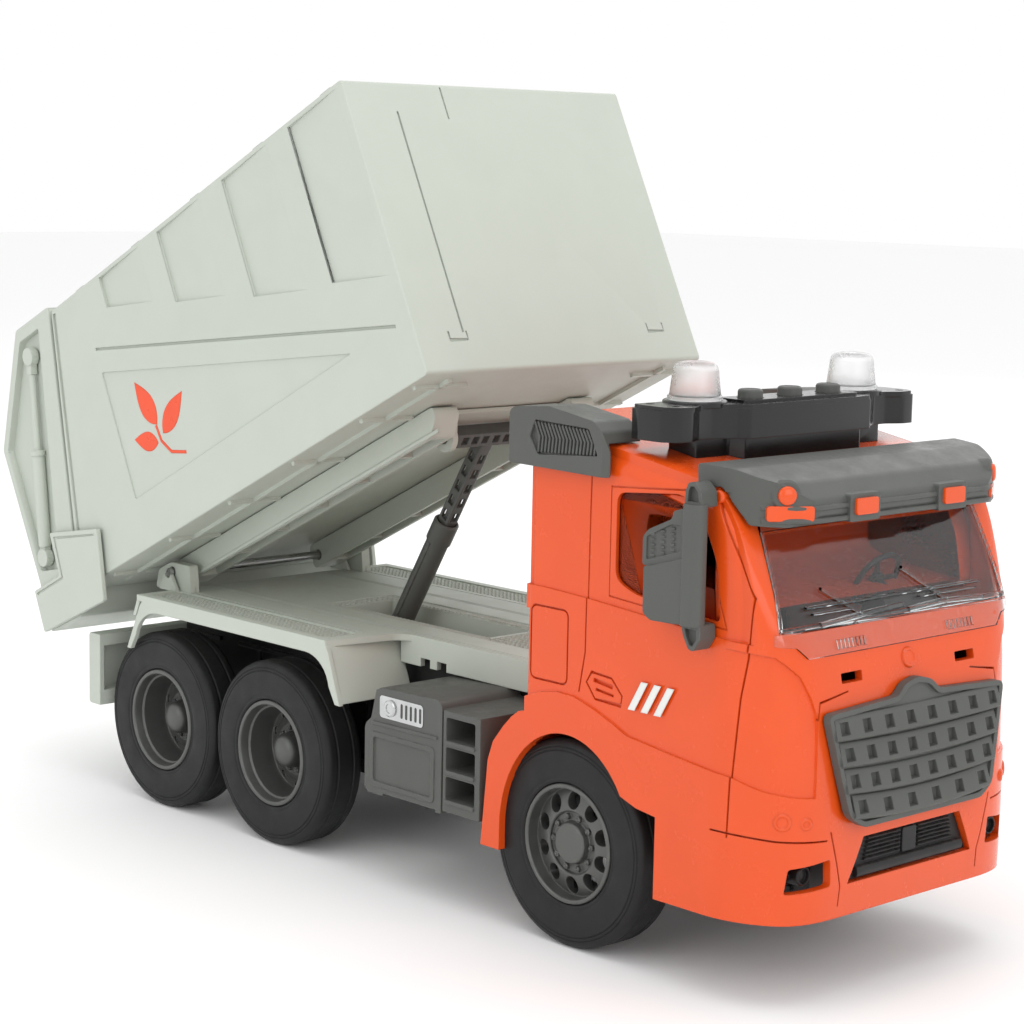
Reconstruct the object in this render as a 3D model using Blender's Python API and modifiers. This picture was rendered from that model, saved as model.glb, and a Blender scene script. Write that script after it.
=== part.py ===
"""Toy refuse truck, 1:16: orange cab, light grey deck and a tipping refuse body, shown raised.

+X is forward, +Y is the truck's left and +Z is up. Lengths in this file are millimetres, and the
helpers turn them into metres. X stations are counted from the front axle, so the whole truck is
shifted by FRONT_AXLE_X to bring the middle of its length to the origin.
"""
import math

import bmesh
import bpy
from mathutils import Matrix, Vector

# ---------------------------------------------------------------- driving dimensions, mm
MM = 0.001
FRONT_AXLE_X = 105.8        # front axle's station in the world
GAP = 0.4                   # clearance between pieces that touch

FACETS = 24                 # sides of a tyre
TYRE_R = 31.0               # axle height: the tyre's flats are this far out
TYRE_W = 15.5
WHEEL_OUTER_Y = 54.6        # outer face of every tyre
RIM_R = 17.8
AXLE_Z = TYRE_R
AXLE_R = 2.0
AXLES = {"front": 0.0, "middle": -141.7, "rear": -204.6}

CAB_HALF = 57.0             # half width of cab and rear fenders
CAB_REAR = -18.0
SKIN = 1.6                  # wall of the moulded shells
DECK_TOP = 74.4
DECK_HALF = 28.2            # half width of the narrow deck behind the cab
PAN_HALF = 24.0
PAN_FLOOR = 22.0

HINGE_X, HINGE_Z = -217.0, 80.6     # tipping axis
TIP = math.radians(26.0)            # raised stop, the pose that is modelled
BODY_HALF = 59.8
BODY_FRONT, BODY_SEAM = 179.0, -4.0     # along the body, from the tipping axis
BODY_FLOOR, BODY_TOP = 5.0, 102.3
RAIL_Y, RAIL_W, RAIL_DEPTH = 30.0, 10.0, 8.8
TAILGATE_PIVOT = (-4.3, 104.0)
SEAM_FOOT = -31.0           # the seam leans back from BODY_SEAM at the roof to here at the floor
RAM_TOP, RAM_FOOT = (-23.7, 92.7), (-47.4, 23.2)     # eyes of the ram moulded on the tailgate
STRUT_PIVOT = (132.8, -0.6)         # ears under the body
STRUT_FOOT = (-142.6, 63.9)         # foot in the deck well
WELL = (-156.0, -84.0, 10.0, 56.5)  # rear end, front end, half width, bottom
SLEEVE_L, SLEEVE_R = 51.0, 4.4
ROD_L, ROD_HALF = 52.0, 2.4

BAR_LOW, BAR_HIGH = 149.8, 161.0     # roof light bar
BUTTON_X, BUTTON_R = 32.2, 3.6
BUTTON_SPACING = 17.0
FOG_LAMP = (34.8, 48.0, 33.0, 41.2)  # inner and outer side, bottom and top

RIB_COUNT, RIB_FIRST, RIB_PITCH, RIB_HALF = 5, 14.0, 38.6, 4.0      # ribs across the body's roof
KNUCKLE_Y = 24.0            # tailgate knuckles inside this, the body's outside it
KNUCKLE_R, KNUCKLE_BORE = 2.4, 1.5

RIM_HOLES = 10
GEAR_MODULE = 0.75
DRIVE_TEETH, PINION_TEETH = 16, 8

# ---------------------------------------------------------------- clean start, collections
for old in list(bpy.data.objects):
    bpy.data.objects.remove(old, do_unlink=True)


def collection(name):
    """A collection linked to the scene."""
    made = bpy.data.collections.new(name)
    bpy.context.scene.collection.children.link(made)
    return made


PARTS = collection("toy_refuse_truck")
CUTTERS = collection("cutters")
AXES = collection("axes")


def plastic(name, colour, roughness, metallic=0.0, alpha=1.0):
    """A Principled material for one sort of plastic or metal."""
    made = bpy.data.materials.new(name)
    made.use_nodes = True
    shader = made.node_tree.nodes["Principled BSDF"]
    shader.inputs["Base Color"].default_value = (*colour, 1.0)
    shader.inputs["Roughness"].default_value = roughness
    shader.inputs["Metallic"].default_value = metallic
    shader.inputs["Alpha"].default_value = alpha
    made.diffuse_color = (*colour, alpha)
    return made


ORANGE = plastic("orange_plastic", (0.84, 0.13, 0.025), 0.25)
PALE = plastic("pale_grey_plastic", (0.55, 0.58, 0.52), 0.4)
TRIM = plastic("dark_grey_plastic", (0.12, 0.125, 0.115), 0.45)
BLACK = plastic("black_plastic", (0.012, 0.012, 0.012), 0.3)
RUBBER = plastic("tyre_rubber", (0.03, 0.031, 0.032), 0.7)
SILVER = plastic("silver_plastic", (0.32, 0.33, 0.32), 0.35, 0.6)
STEEL = plastic("steel", (0.5, 0.5, 0.5), 0.3, 1.0)
CLEAR = plastic("clear_plastic", (0.9, 0.93, 0.93), 0.08, 0.0, 0.35)
ZINC = plastic("zinc_alloy", (0.45, 0.44, 0.42), 0.4, 1.0)
BOARD = plastic("circuit_green", (0.02, 0.16, 0.07), 0.5)


# ---------------------------------------------------------------- shape helpers
def truck(x=0.0, y=0.0, z=0.0):
    """Placement in the truck's frame, x counted from the front axle."""
    return Matrix.Translation(Vector((FRONT_AXLE_X + x, y, z)) * MM)


def upright(matrix):
    """A flat outline drawn in XY stands up in XZ, its thickness along Y."""
    return matrix @ Matrix.Rotation(math.pi / 2, 4, "X")


def crosswise(matrix):
    """A piece turned about Z gets its axis along Y, pointing to the truck's right."""
    return matrix @ Matrix.Rotation(math.pi / 2, 4, "X")


BODY_AXIS = truck(HINGE_X, 0, HINGE_Z) @ Matrix.Rotation(-TIP, 4, "Y")


def tipped(x=0.0, y=0.0, z=0.0):
    """Placement in the body's frame: from the tipping axis, along the raised body."""
    return BODY_AXIS @ Matrix.Translation(Vector((x, y, z)) * MM)


def put(name, mesh, look, place):
    """Link a named piece of the truck."""
    made = bpy.data.objects.new(name, mesh)
    made.matrix_world = place
    mesh.materials.clear()
    mesh.materials.append(look)
    PARTS.objects.link(made)
    return made


def hang(name, place, pieces):
    """Parent pieces to an empty that stands on the axis they move about."""
    axis = bpy.data.objects.new(name, None)
    axis.empty_display_size = 20 * MM
    axis.matrix_world = place
    AXES.objects.link(axis)
    for piece in pieces:
        piece.parent = axis
        piece.matrix_parent_inverse = place.inverted()


def tool(mesh, place):
    """Link a guide or cutter, which isn't a piece of the truck."""
    made = bpy.data.objects.new("cutter", mesh)
    made.matrix_world = place
    made.hide_render = True
    made.display_type = "WIRE"
    CUTTERS.objects.link(made)
    return made


def block(low, high):
    """Mesh of a box between two corners."""
    low, high = Vector(low) * MM, Vector(high) * MM
    mesh = bpy.data.meshes.new("block")
    cage = bmesh.new()
    bmesh.ops.create_cube(cage, size=1.0)
    bmesh.ops.scale(cage, vec=high - low, verts=cage.verts)
    bmesh.ops.translate(cage, vec=(low + high) / 2, verts=cage.verts)
    cage.to_mesh(mesh)
    cage.free()
    return mesh


def cylinder(radius, low, high, sides=20):
    """Mesh of a cylinder about Z from low to high."""
    mesh = bpy.data.meshes.new("cylinder")
    cage = bmesh.new()
    bmesh.ops.create_cone(cage, cap_ends=True, segments=sides, radius1=radius * MM, radius2=radius * MM,
                          depth=(high - low) * MM)
    bmesh.ops.translate(cage, vec=(0, 0, (low + high) / 2 * MM), verts=cage.verts)
    for face in cage.faces:
        face.smooth = len(face.verts) == 4
    cage.to_mesh(mesh)
    cage.free()
    return mesh


def outline(points, low, high):
    """Mesh of a flat outline in XY, filled and thick from low to high along Z."""
    curve = bpy.data.curves.new("outline", "CURVE")
    curve.dimensions = "2D"
    curve.fill_mode = "BOTH"
    curve.extrude = (high - low) / 2 * MM
    line = curve.splines.new("POLY")
    line.points.add(len(points) - 1)
    line.use_cyclic_u = True
    for point, (x, y) in zip(line.points, points):
        point.co = (x * MM, y * MM, 0, 1)
    guide = bpy.data.objects.new("guide", curve)
    CUTTERS.objects.link(guide)
    bpy.context.view_layer.update()
    mesh = bpy.data.meshes.new_from_object(guide.evaluated_get(bpy.context.evaluated_depsgraph_get()))
    bpy.data.objects.remove(guide, do_unlink=True)
    cage = bmesh.new()
    cage.from_mesh(mesh)
    bmesh.ops.remove_doubles(cage, verts=cage.verts, dist=1e-6)
    bmesh.ops.translate(cage, vec=(0, 0, (low + high) / 2 * MM), verts=cage.verts)
    bmesh.ops.recalc_face_normals(cage, faces=cage.faces)
    cage.to_mesh(mesh)
    cage.free()
    return mesh


def turned(name, profile, look, place, sides=FACETS):
    """A piece turned about Z from (radius, height) points that run down its outer side."""
    mesh = bpy.data.meshes.new(name)
    points = [(radius * MM, 0, height * MM) for radius, height in profile]
    ring = len(points)
    edges = [(index, (index + 1) % ring) for index in range(ring)]
    if profile[0][0] == 0:
        edges.pop()
    mesh.from_pydata(points, edges, [])
    made = put(name, mesh, look, place)
    screw = made.modifiers.new("turn", "SCREW")
    screw.steps = sides
    screw.render_steps = sides
    screw.use_merge_vertices = True
    screw.merge_threshold = 1e-6
    screw.use_smooth_shade = True
    return made


def cut(piece, mesh, place):
    """Take a shape out of a piece."""
    return combine(piece, mesh, place, "DIFFERENCE")


def join(piece, mesh, place):
    """Make a shape one body with a piece."""
    return combine(piece, mesh, place, "UNION")


def combine(piece, mesh, place, operation):
    """Add an exact boolean with a guide shape to a piece."""
    boolean = piece.modifiers.new(operation.lower(), "BOOLEAN")
    boolean.operation = operation
    boolean.solver = "EXACT"
    boolean.object = tool(mesh, place)
    return piece


def rounded(piece, width, segments=1, angle=40):
    """Break a piece's edges."""
    bevel = piece.modifiers.new("edges", "BEVEL")
    bevel.width = width * MM
    bevel.segments = segments
    bevel.limit_method = "ANGLE"
    bevel.angle_limit = math.radians(angle)
    return piece


def arc(centre, radius, start, end, steps):
    """Points of an arc, angles in degrees; radius may be a pair of semi-axes."""
    rx, ry = radius if isinstance(radius, tuple) else (radius, radius)
    turn = [math.radians(start + (end - start) * step / steps) for step in range(steps + 1)]
    return [(centre[0] + rx * math.cos(a), centre[1] + ry * math.sin(a)) for a in turn]


def both_sides(points):
    """A half outline, given for y above 0, completed by its mirror image."""
    return points + [(x, -y) for x, y in reversed(points)]


SIDES = {"left": 1, "right": -1}


def side_span(side, inner, outer):
    """The thickness range of an upright outline: inner and outer distance from the centre."""
    return (-outer, -inner) if side > 0 else (inner, outer)


# ---------------------------------------------------------------- wheels and axles
def wheels():
    """Three axles, each with two rims and two tyres that turn with it."""
    hub_face = WHEEL_OUTER_Y - 2.6
    for station, x in AXLES.items():
        dished = station != "front"
        axle_end = WHEEL_OUTER_Y - (9.0 if dished else 8.0)
        put(station + "_axle", cylinder(AXLE_R, -axle_end, axle_end, 16), STEEL,
            crosswise(truck(x, 0, AXLE_Z)))
        for side_name, side in SIDES.items():
            outward = truck(x, 0, AXLE_Z) @ Matrix.Rotation(-side * math.pi / 2, 4, "X")
            outward = outward @ Matrix.Rotation(math.pi / FACETS, 4, "Z")
            tyre(station + "_tyre_" + side_name, outward)
            rim(station + "_rim_" + side_name, outward, dished, hub_face)


def tyre(name, outward):
    """Rubber ring with a flat tread, rounded shoulders and a stepped side wall."""
    face, back = WHEEL_OUTER_Y, WHEEL_OUTER_Y - TYRE_W
    bore, tread = RIM_R - 1.0, TYRE_R / math.cos(math.pi / FACETS)
    profile = [(RIM_R + 0.3, face - 0.5), (RIM_R + 2.8, face), (27.0, face), (tread - 0.8, face - 0.9),
               (tread, face - 2.4), (tread, back + 2.4), (tread - 0.8, back + 0.9), (27.0, back),
               (bore, back), (bore, face - 2.6), (RIM_R + 0.3, face - 1.8)]
    turned(name, profile, RUBBER, outward)


def rim(name, outward, dished, hub_face):
    """Front rims have a face with ten holes near the edge; rear rims are deep dishes."""
    bead = RIM_R - 1.0 - GAP
    back = WHEEL_OUTER_Y - TYRE_W + 0.5
    if dished:
        floor = WHEEL_OUTER_Y - 12.0
        profile = [(RIM_R - 0.2, WHEEL_OUTER_Y - 0.2), (RIM_R - 0.2, WHEEL_OUTER_Y - 1.4),
                   (bead, WHEEL_OUTER_Y - 2.4), (bead, back), (AXLE_R + GAP, back),
                   (AXLE_R + GAP, floor + 4.4), (4.0, floor + 5.6), (5.6, floor + 3.0), (5.6, floor),
                   (14.6, floor), (16.0, WHEEL_OUTER_Y - 0.8), (16.6, WHEEL_OUTER_Y - 0.2)]
        made = turned(name, profile, SILVER, outward)
        cut(made, cylinder(AXLE_R + GAP, 0, floor + 3.6, 16), outward)
        return
    profile = [(RIM_R - 0.2, WHEEL_OUTER_Y - 0.2), (RIM_R - 0.2, WHEEL_OUTER_Y - 1.4),
               (bead, WHEEL_OUTER_Y - 2.4), (bead, back), (14.8, back), (14.8, hub_face - 3.6),
               (7.0, hub_face - 3.6), (7.0, back + 2), (AXLE_R + GAP, back + 2),
               (AXLE_R + GAP, hub_face - 0.8), (4.4, hub_face - 0.4), (5.4, hub_face - 1.2),
               (10.0, hub_face - 1.2), (16.0, hub_face + 0.4), (16.6, WHEEL_OUTER_Y - 0.2)]
    made = turned(name, profile, SILVER, outward)
    for index in range(RIM_HOLES):
        spoke = outward @ Matrix.Rotation(2 * math.pi * index / RIM_HOLES, 4, "Z")
        cut(made, cylinder(1.8, back + 2, hub_face + 3, 10), spoke @ Matrix.Translation((12.4 * MM, 0, 0)))


# ---------------------------------------------------------------- chassis
def chassis():
    """Black pan that carries the axles, open at the top, with bearing bosses out to the wheels."""
    front, rear = 66.0, -232.0
    pan = put("chassis_base", block((rear, -PAN_HALF, PAN_FLOOR), (front, PAN_HALF, 66.0)), BLACK, truck())
    cut(pan, block((rear + 2, -PAN_HALF + 2, PAN_FLOOR + 2), (front - 2, PAN_HALF - 2, 80.0)), truck())
    cut(pan, block((-16, -40, 58.0), (front + 5, 40, 80.0)), truck())
    boss_out = WHEEL_OUTER_Y - TYRE_W - 0.8
    for x in AXLES.values():
        for side in SIDES.values():
            low, high = sorted((side * (PAN_HALF - 2), side * boss_out))
            join(pan, block((-4.5, low, -5.5), (4.5, high, 5.5)), truck(x, 0, AXLE_Z))
    for x in AXLES.values():
        cut(pan, cylinder(AXLE_R + GAP, -60, 60, 16), crosswise(truck(x, 0, AXLE_Z)))
    cut(pan, block((-64, -14.4, PAN_FLOOR - 1), (-30, 14.4, PAN_FLOOR + 3)), truck())

    cover = put("battery_cover", block((-63.6, -14, PAN_FLOOR + 0.2), (-30.4, 14, PAN_FLOOR + 1.8)),
                BLACK, truck())
    cut(cover, cylinder(1.6, -2, 1.0, 12), truck(-60, 0, PAN_FLOOR))
    holder = put("battery_holder", block((-66, -16, PAN_FLOOR + 2.4), (-28, 16, PAN_FLOOR + 18)), BLACK,
                 truck())
    for x in (-56.0, -47.0, -38.0):
        cut(holder, cylinder(6.2, -14.5, 14.5, 20), crosswise(truck(x, 0, PAN_FLOOR + 9.6)))
    cut(holder, block((-63.4, -14.5, PAN_FLOOR), (-30.6, 14.5, PAN_FLOOR + 9)), truck())


def bar_across():
    """Pale under-run bar across the tail, on two legs from the deck."""
    bar = put("tail_bar", block((-246, -CAB_HALF, 30.5), (-239, CAB_HALF, 56.4)), PALE, truck())
    cut(bar, block((-248, -CAB_HALF + 7, 20), (-230, CAB_HALF - 7, 34)), truck())
    cut(bar, block((-243, -CAB_HALF + 2, 36), (-230, CAB_HALF - 2, 52)), truck())
    rounded(bar, 0.8)


# ---------------------------------------------------------------- deck
def deck():
    """Pale deck: narrow behind the cab, with lids over the rear wheels and a well for the strut."""
    rear_lid = both_sides([(-215.5, 36.0), (-215.5, CAB_HALF), (-107.5, CAB_HALF), (-103.6, DECK_HALF),
                           (CAB_REAR - 4.4, DECK_HALF)])
    made = put("rear_deck", outline(rear_lid, DECK_TOP - 2.2, DECK_TOP), PALE, truck())
    for side in SIDES.values():
        skirt = [(-221.5, 54.5), (-211.4, DECK_TOP), (-109.7, DECK_TOP), (-102.0, 54.1), (-104.4, 54.3)]
        skirt += arc((-120.0, 57.6), (12.0, 10.1), 20, 90, 4)
        skirt += arc((-203.0, 57.6), (13.0, 10.1), 90, 160, 4)
        skirt += [(-219.4, 54.5)]
        join(made, outline(skirt, *side_span(side, CAB_HALF - SKIN, CAB_HALF)), upright(truck()))
        low, high = sorted((side * (DECK_HALF - 1.8), side * DECK_HALF))
        join(made, block((-106, low, 66.4), (CAB_REAR - 4.4, high, DECK_TOP - 0.4)), truck())
        low, high = sorted((side * (DECK_HALF - 1.8), side * (CAB_HALF - 0.4)))
        front = [(-109.7, DECK_TOP - 0.3), (-102.2, 54.6), (-104.8, 54.6), (-112.0, DECK_TOP - 0.3)]
        join(made, outline(front, *side_span(side, DECK_HALF - 1.8, CAB_HALF - 0.4)), upright(truck()))
    rear = [(-215.4, DECK_TOP - 0.3), (-218.2, 66.6), (-216.0, 66.6), (-212.8, DECK_TOP - 0.3)]
    join(made, outline(rear, -CAB_HALF + 0.4, CAB_HALF - 0.4), upright(truck()))
    rear_end, front_end, half, bottom = WELL
    join(made, block((rear_end - SKIN, -half - SKIN, bottom - SKIN),
                     (front_end + SKIN, half + SKIN, DECK_TOP - 0.6)), truck())
    cut(made, block((rear_end, -half, bottom), (front_end, half, 90)), truck())
    for side in SIDES.values():
        post = [(2.2, -7.6), (10.0, -7.6)] + arc((0, 0), 4.3, 10, 190, 9)
        join(made, outline(post, *side_span(side, 37.0, 41.0)), upright(truck(HINGE_X, 0, HINGE_Z)))
    cut(made, cylinder(1.9, -60, 60, 16), crosswise(truck(HINGE_X, 0, HINGE_Z)))


# ---------------------------------------------------------------- cab
def cab_profile(inset=0.0):
    """Side outline of the cab, from the rear of the wheel flare, over the roof, to the bumper."""
    rear = [(-34.2 + inset, 24.0), (-31.6 + inset, 50.5), (-25.0 + inset, 62.0),
            (CAB_REAR - 0.6 + inset, 68.0), (CAB_REAR + 1.0 + inset, 140.0)]
    roof = [(CAB_REAR + inset, 155.0 - inset), (55.6 - inset / 2, 142.3 - inset)]
    nose = [(62.0, 133.0), (76.0, 102.0), (79.6, 90.0), (81.2, 80.0), (84.0, 52.0), (84.4, 38.0),
            (82.0, 24.0)]
    return rear + roof + [(x - inset, z) for x, z in nose]


def cab_plan(half, inset=0.0):
    """Outline from above, with the rounded front corners."""
    corner = arc((56.0, half - 26.0), (28.8 - inset, 26.0 - inset), 90, 5, 8)
    return both_sides([(-45.0 + inset, half - inset)] + corner)


def solid_mesh(piece):
    """The finished mesh of a guide piece, which is then removed."""
    bpy.context.view_layer.update()
    mesh = bpy.data.meshes.new_from_object(piece.evaluated_get(bpy.context.evaluated_depsgraph_get()))
    bpy.data.objects.remove(piece, do_unlink=True)
    return mesh


def cab():
    """Orange cab shell, open below, with its windscreen, door windows and wheel arches cut out."""
    within = cab_profile(SKIN)[:-1] + [(80.4, 10.0), (-31.0, 10.0)]
    hollow = tool(outline(within, -70, 70), upright(truck()))
    combine(hollow, outline(cab_plan(CAB_HALF, SKIN), 0, 170), truck(), "INTERSECT")
    place = hollow.matrix_world.copy()
    shell = put("cab_shell", outline(cab_profile(), -70, 70), ORANGE, upright(truck()))
    combine(shell, outline(cab_plan(CAB_HALF), 0, 170), truck(), "INTERSECT")
    cut(shell, solid_mesh(hollow), place)
    arch = [(-26.0, 10.0)] + arc((1.5, 31.0), (27.6, 33.2), 180, 36, 10) + [(37.6, 50.0), (37.6, 10.0)]
    cut(shell, outline(arch, -70, 70), upright(truck()))
    window = [(18.2, 108.6), (18.2, 135.7), (47.4, 138.0), (58.2, 105.5)]
    cut(shell, outline(window, -70, 70), upright(truck()))
    cut(shell, block((54, -50, 102.6), (90, 50, 132.4)), truck())
    cut(shell, block((70, -27.6, 33.0), (90, 27.6, 45.6)), truck())
    inner, outer, bottom, top = FOG_LAMP
    for side in SIDES.values():
        low, high = sorted((side * (inner - GAP), side * (outer + GAP)))
        cut(shell, block((60, low, bottom - GAP), (90, high, top + GAP)), truck())
    cut(shell, block((-45, -36.4, 10), (-10, 36.4, 67.0)), truck())


def cab_fittings():
    """What is clipped or screwed to the cab shell, inside and out."""
    tub = [(-14.0, 68.4), (-14.0, 96.0), (-9.0, 96.0), (-4.0, 76.0), (24.0, 74.0), (44.0, 76.0),
           (52.0, 98.0), (66.0, 99.0), (70.0, 72.0), (68.0, 68.4)]
    put("cab_interior", outline(tub, -46, 46), BLACK, upright(truck()))
    lean = truck(45.0, 26.0, 107.0) @ Matrix.Rotation(math.radians(-60), 4, "Y")
    ring = [(9.0, 0.7), (9.6, 0.0), (9.0, -0.7), (7.9, -0.7), (7.9, 0.7)]
    wheel = turned("steering_wheel", ring, BLACK, lean, 20)
    join(wheel, block((-8.4, -1.2, -0.6), (8.4, 1.2, 0.6)), lean)
    join(wheel, cylinder(1.5, -6.6, 0.5, 10), lean)

    screen = [(62.2, 132.0), (75.4, 103.0), (74.0, 103.0), (60.8, 132.0)]
    put("windshield", outline(screen, -49.6, 49.6), CLEAR, upright(truck()))
    face = [(81.6, 80.4), (84.4, 53.0), (85.6, 53.0), (82.9, 80.8), (81.4, 83.4), (80.9, 83.2)]
    panel = put("grille", outline(face, -38.4, 38.4), TRIM, upright(truck()))
    sides = [(38.4, 81.0), (26.0, 51.0), (-26.0, 51.0), (-38.4, 81.0), (-8.0, 86.0), (8.0, 86.0)]
    combine(panel, outline(sides, 60, 100), facing(truck()), "INTERSECT")
    low_grille = [(27.2, 33.4), (20.6, 45.2), (-20.6, 45.2), (-27.2, 33.4)]
    put("lower_grille", outline(low_grille, 79.6, 82.0), BLACK, facing(truck()))
    inner, outer, bottom, top = FOG_LAMP
    middle = (inner + outer) / 2, (bottom + top) / 2
    for side_name, side in SIDES.items():
        low, high = sorted((side * inner, side * outer))
        lamp = put("fog_lamp_" + side_name, block((72.4, low, bottom), (77.0, high, top)), BLACK, truck())
        join(lamp, cylinder(2.8, 76.0, 79.4, 12), facing(truck(0, side * middle[0], middle[1])))

    brow = [(49.0, 144.3), (49.0, 147.4), (60.0, 146.6), (72.0, 142.8), (76.4, 138.0), (76.4, 134.4),
            (72.4, 131.4), (63.6, 131.8), (62.8, 133.4), (56.2, 142.9)]
    visor = put("sun_visor", outline(brow, -70, 70), TRIM, upright(truck()))
    combine(visor, outline(cab_plan(55.0), 100, 170), truck(-8, 0, 0), "INTERSECT")
    for side_name, side in SIDES.items():
        deflector(side_name, side)
        mirror(side_name, side)


def facing(matrix):
    """An outline drawn in XY faces forward: its x runs along Y, its y up, its thickness along X."""
    return matrix @ Matrix(((0, 0, 1, 0), (1, 0, 0, 0), (0, 1, 0, 0), (0, 0, 0, 1)))


def deflector(side_name, side):
    """Air deflector over the rear corner of the roof."""
    shape = [(-22.4, 140.8), (-22.4, 156.6), (-6.0, 158.6), (13.0, 155.4), (17.4, 149.0), (17.4, 140.0)]
    made = put("air_deflector_" + side_name, outline(shape, *side_span(side, 46.0, 59.0)), TRIM,
               upright(truck()))
    under = [(-30.0, 130.0), (-30.0, 140.4), (CAB_REAR - 0.4, 140.4), (CAB_REAR - 0.4, 155.6),
             (20.0, 149.2), (20.0, 130.0)]
    rounded(made, 0.6)
    cut(made, outline(under, *side_span(side, 40.0, CAB_HALF + GAP)), upright(truck()))


def mirror(side_name, side):
    """Mirror housing on two arms that stand out from the door pillar."""
    housing = [(36.0, 108.0), (36.0, 124.0), (41.0, 129.4), (50.0, 130.9), (57.4, 130.9), (57.4, 100.4),
               (50.0, 105.0)]
    made = put("mirror_" + side_name, outline(housing, *side_span(side, 59.6, 63.6)), TRIM,
               upright(truck()))
    for foot in (((50.0, 129.0), (50.4, 143.0), (54.2, 141.0), (56.8, 129.0)),
                 ((51.0, 103.6), (53.6, 97.0), (56.4, 97.6), (57.0, 103.6))):
        join(made, outline(foot, *side_span(side, CAB_HALF + 0.4, 61.6)), upright(truck()))


def light_bar():
    """Roof light bar with two clear beacons, three sprung push buttons and the sound parts below."""
    ends = both_sides([(21.0, 53.0), (35.0, 53.0), (37.6, 49.0), (34.6, 40.0), (36.6, 30.0), (41.0, 26.0)])
    bar = put("light_bar", outline(ends, BAR_LOW, BAR_HIGH), BLACK, truck())
    rounded(bar, 0.8)
    cut(bar, block((22.6, -28, BAR_HIGH - 6.4), (39.0, 28, BAR_HIGH - 1.6)), truck())
    for index in range(3):
        at = truck(BUTTON_X, (index - 1) * BUTTON_SPACING, BAR_HIGH)
        cut(bar, cylinder(BUTTON_R + GAP, -3.0, 2.0, 20), at)
        button = put("button_%d" % (index + 1), cylinder(BUTTON_R, -3.4, 3.4, 20), TRIM, at)
        join(button, cylinder(BUTTON_R + 1.6, -4.6, -3.0, 16), at)
    bulb = [(0, 11.8), (5.4, 11.4), (6.6, 10.2), (7.8, 0.4), (6.6, 0.4), (5.6, 9.2), (4.4, 10.4), (0, 10.8)]
    for side_name, side in SIDES.items():
        turned("beacon_" + side_name, bulb, CLEAR, truck(26.8, side * 34.1, BAR_HIGH), 20)
    put("circuit_board", block((-13, -30, 143.4), (24, 30, 144.8)), BOARD, truck())
    put("speaker", cylinder(12.0, 138.4, 143.0, 24), BLACK, truck(4, 0, 0))


def side_lockers():
    """Locker and step ladder on each side between the cab and the middle wheels."""
    for side_name, side in SIDES.items():
        shape = [(-89.0, 29.4), (-89.0, 51.0), (-86.0, 53.4), (-83.0, 63.8), (-54.0, 64.6),
                 (-52.0, 62.0), (-35.0, 62.0), (-35.0, 30.6), (-52.0, 29.4)]
        made = put("side_locker_" + side_name,
                   outline(shape, *side_span(side, PAN_HALF + GAP, CAB_HALF)), TRIM, upright(truck()))
        for low in (34.4, 43.6, 52.8):
            span = sorted((side * 40.0, side * 60.0))
            cut(made, block((-50.4, span[0], low), (-37.0, span[1], low + 7.4)), truck())
        rounded(made, 0.6)


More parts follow.
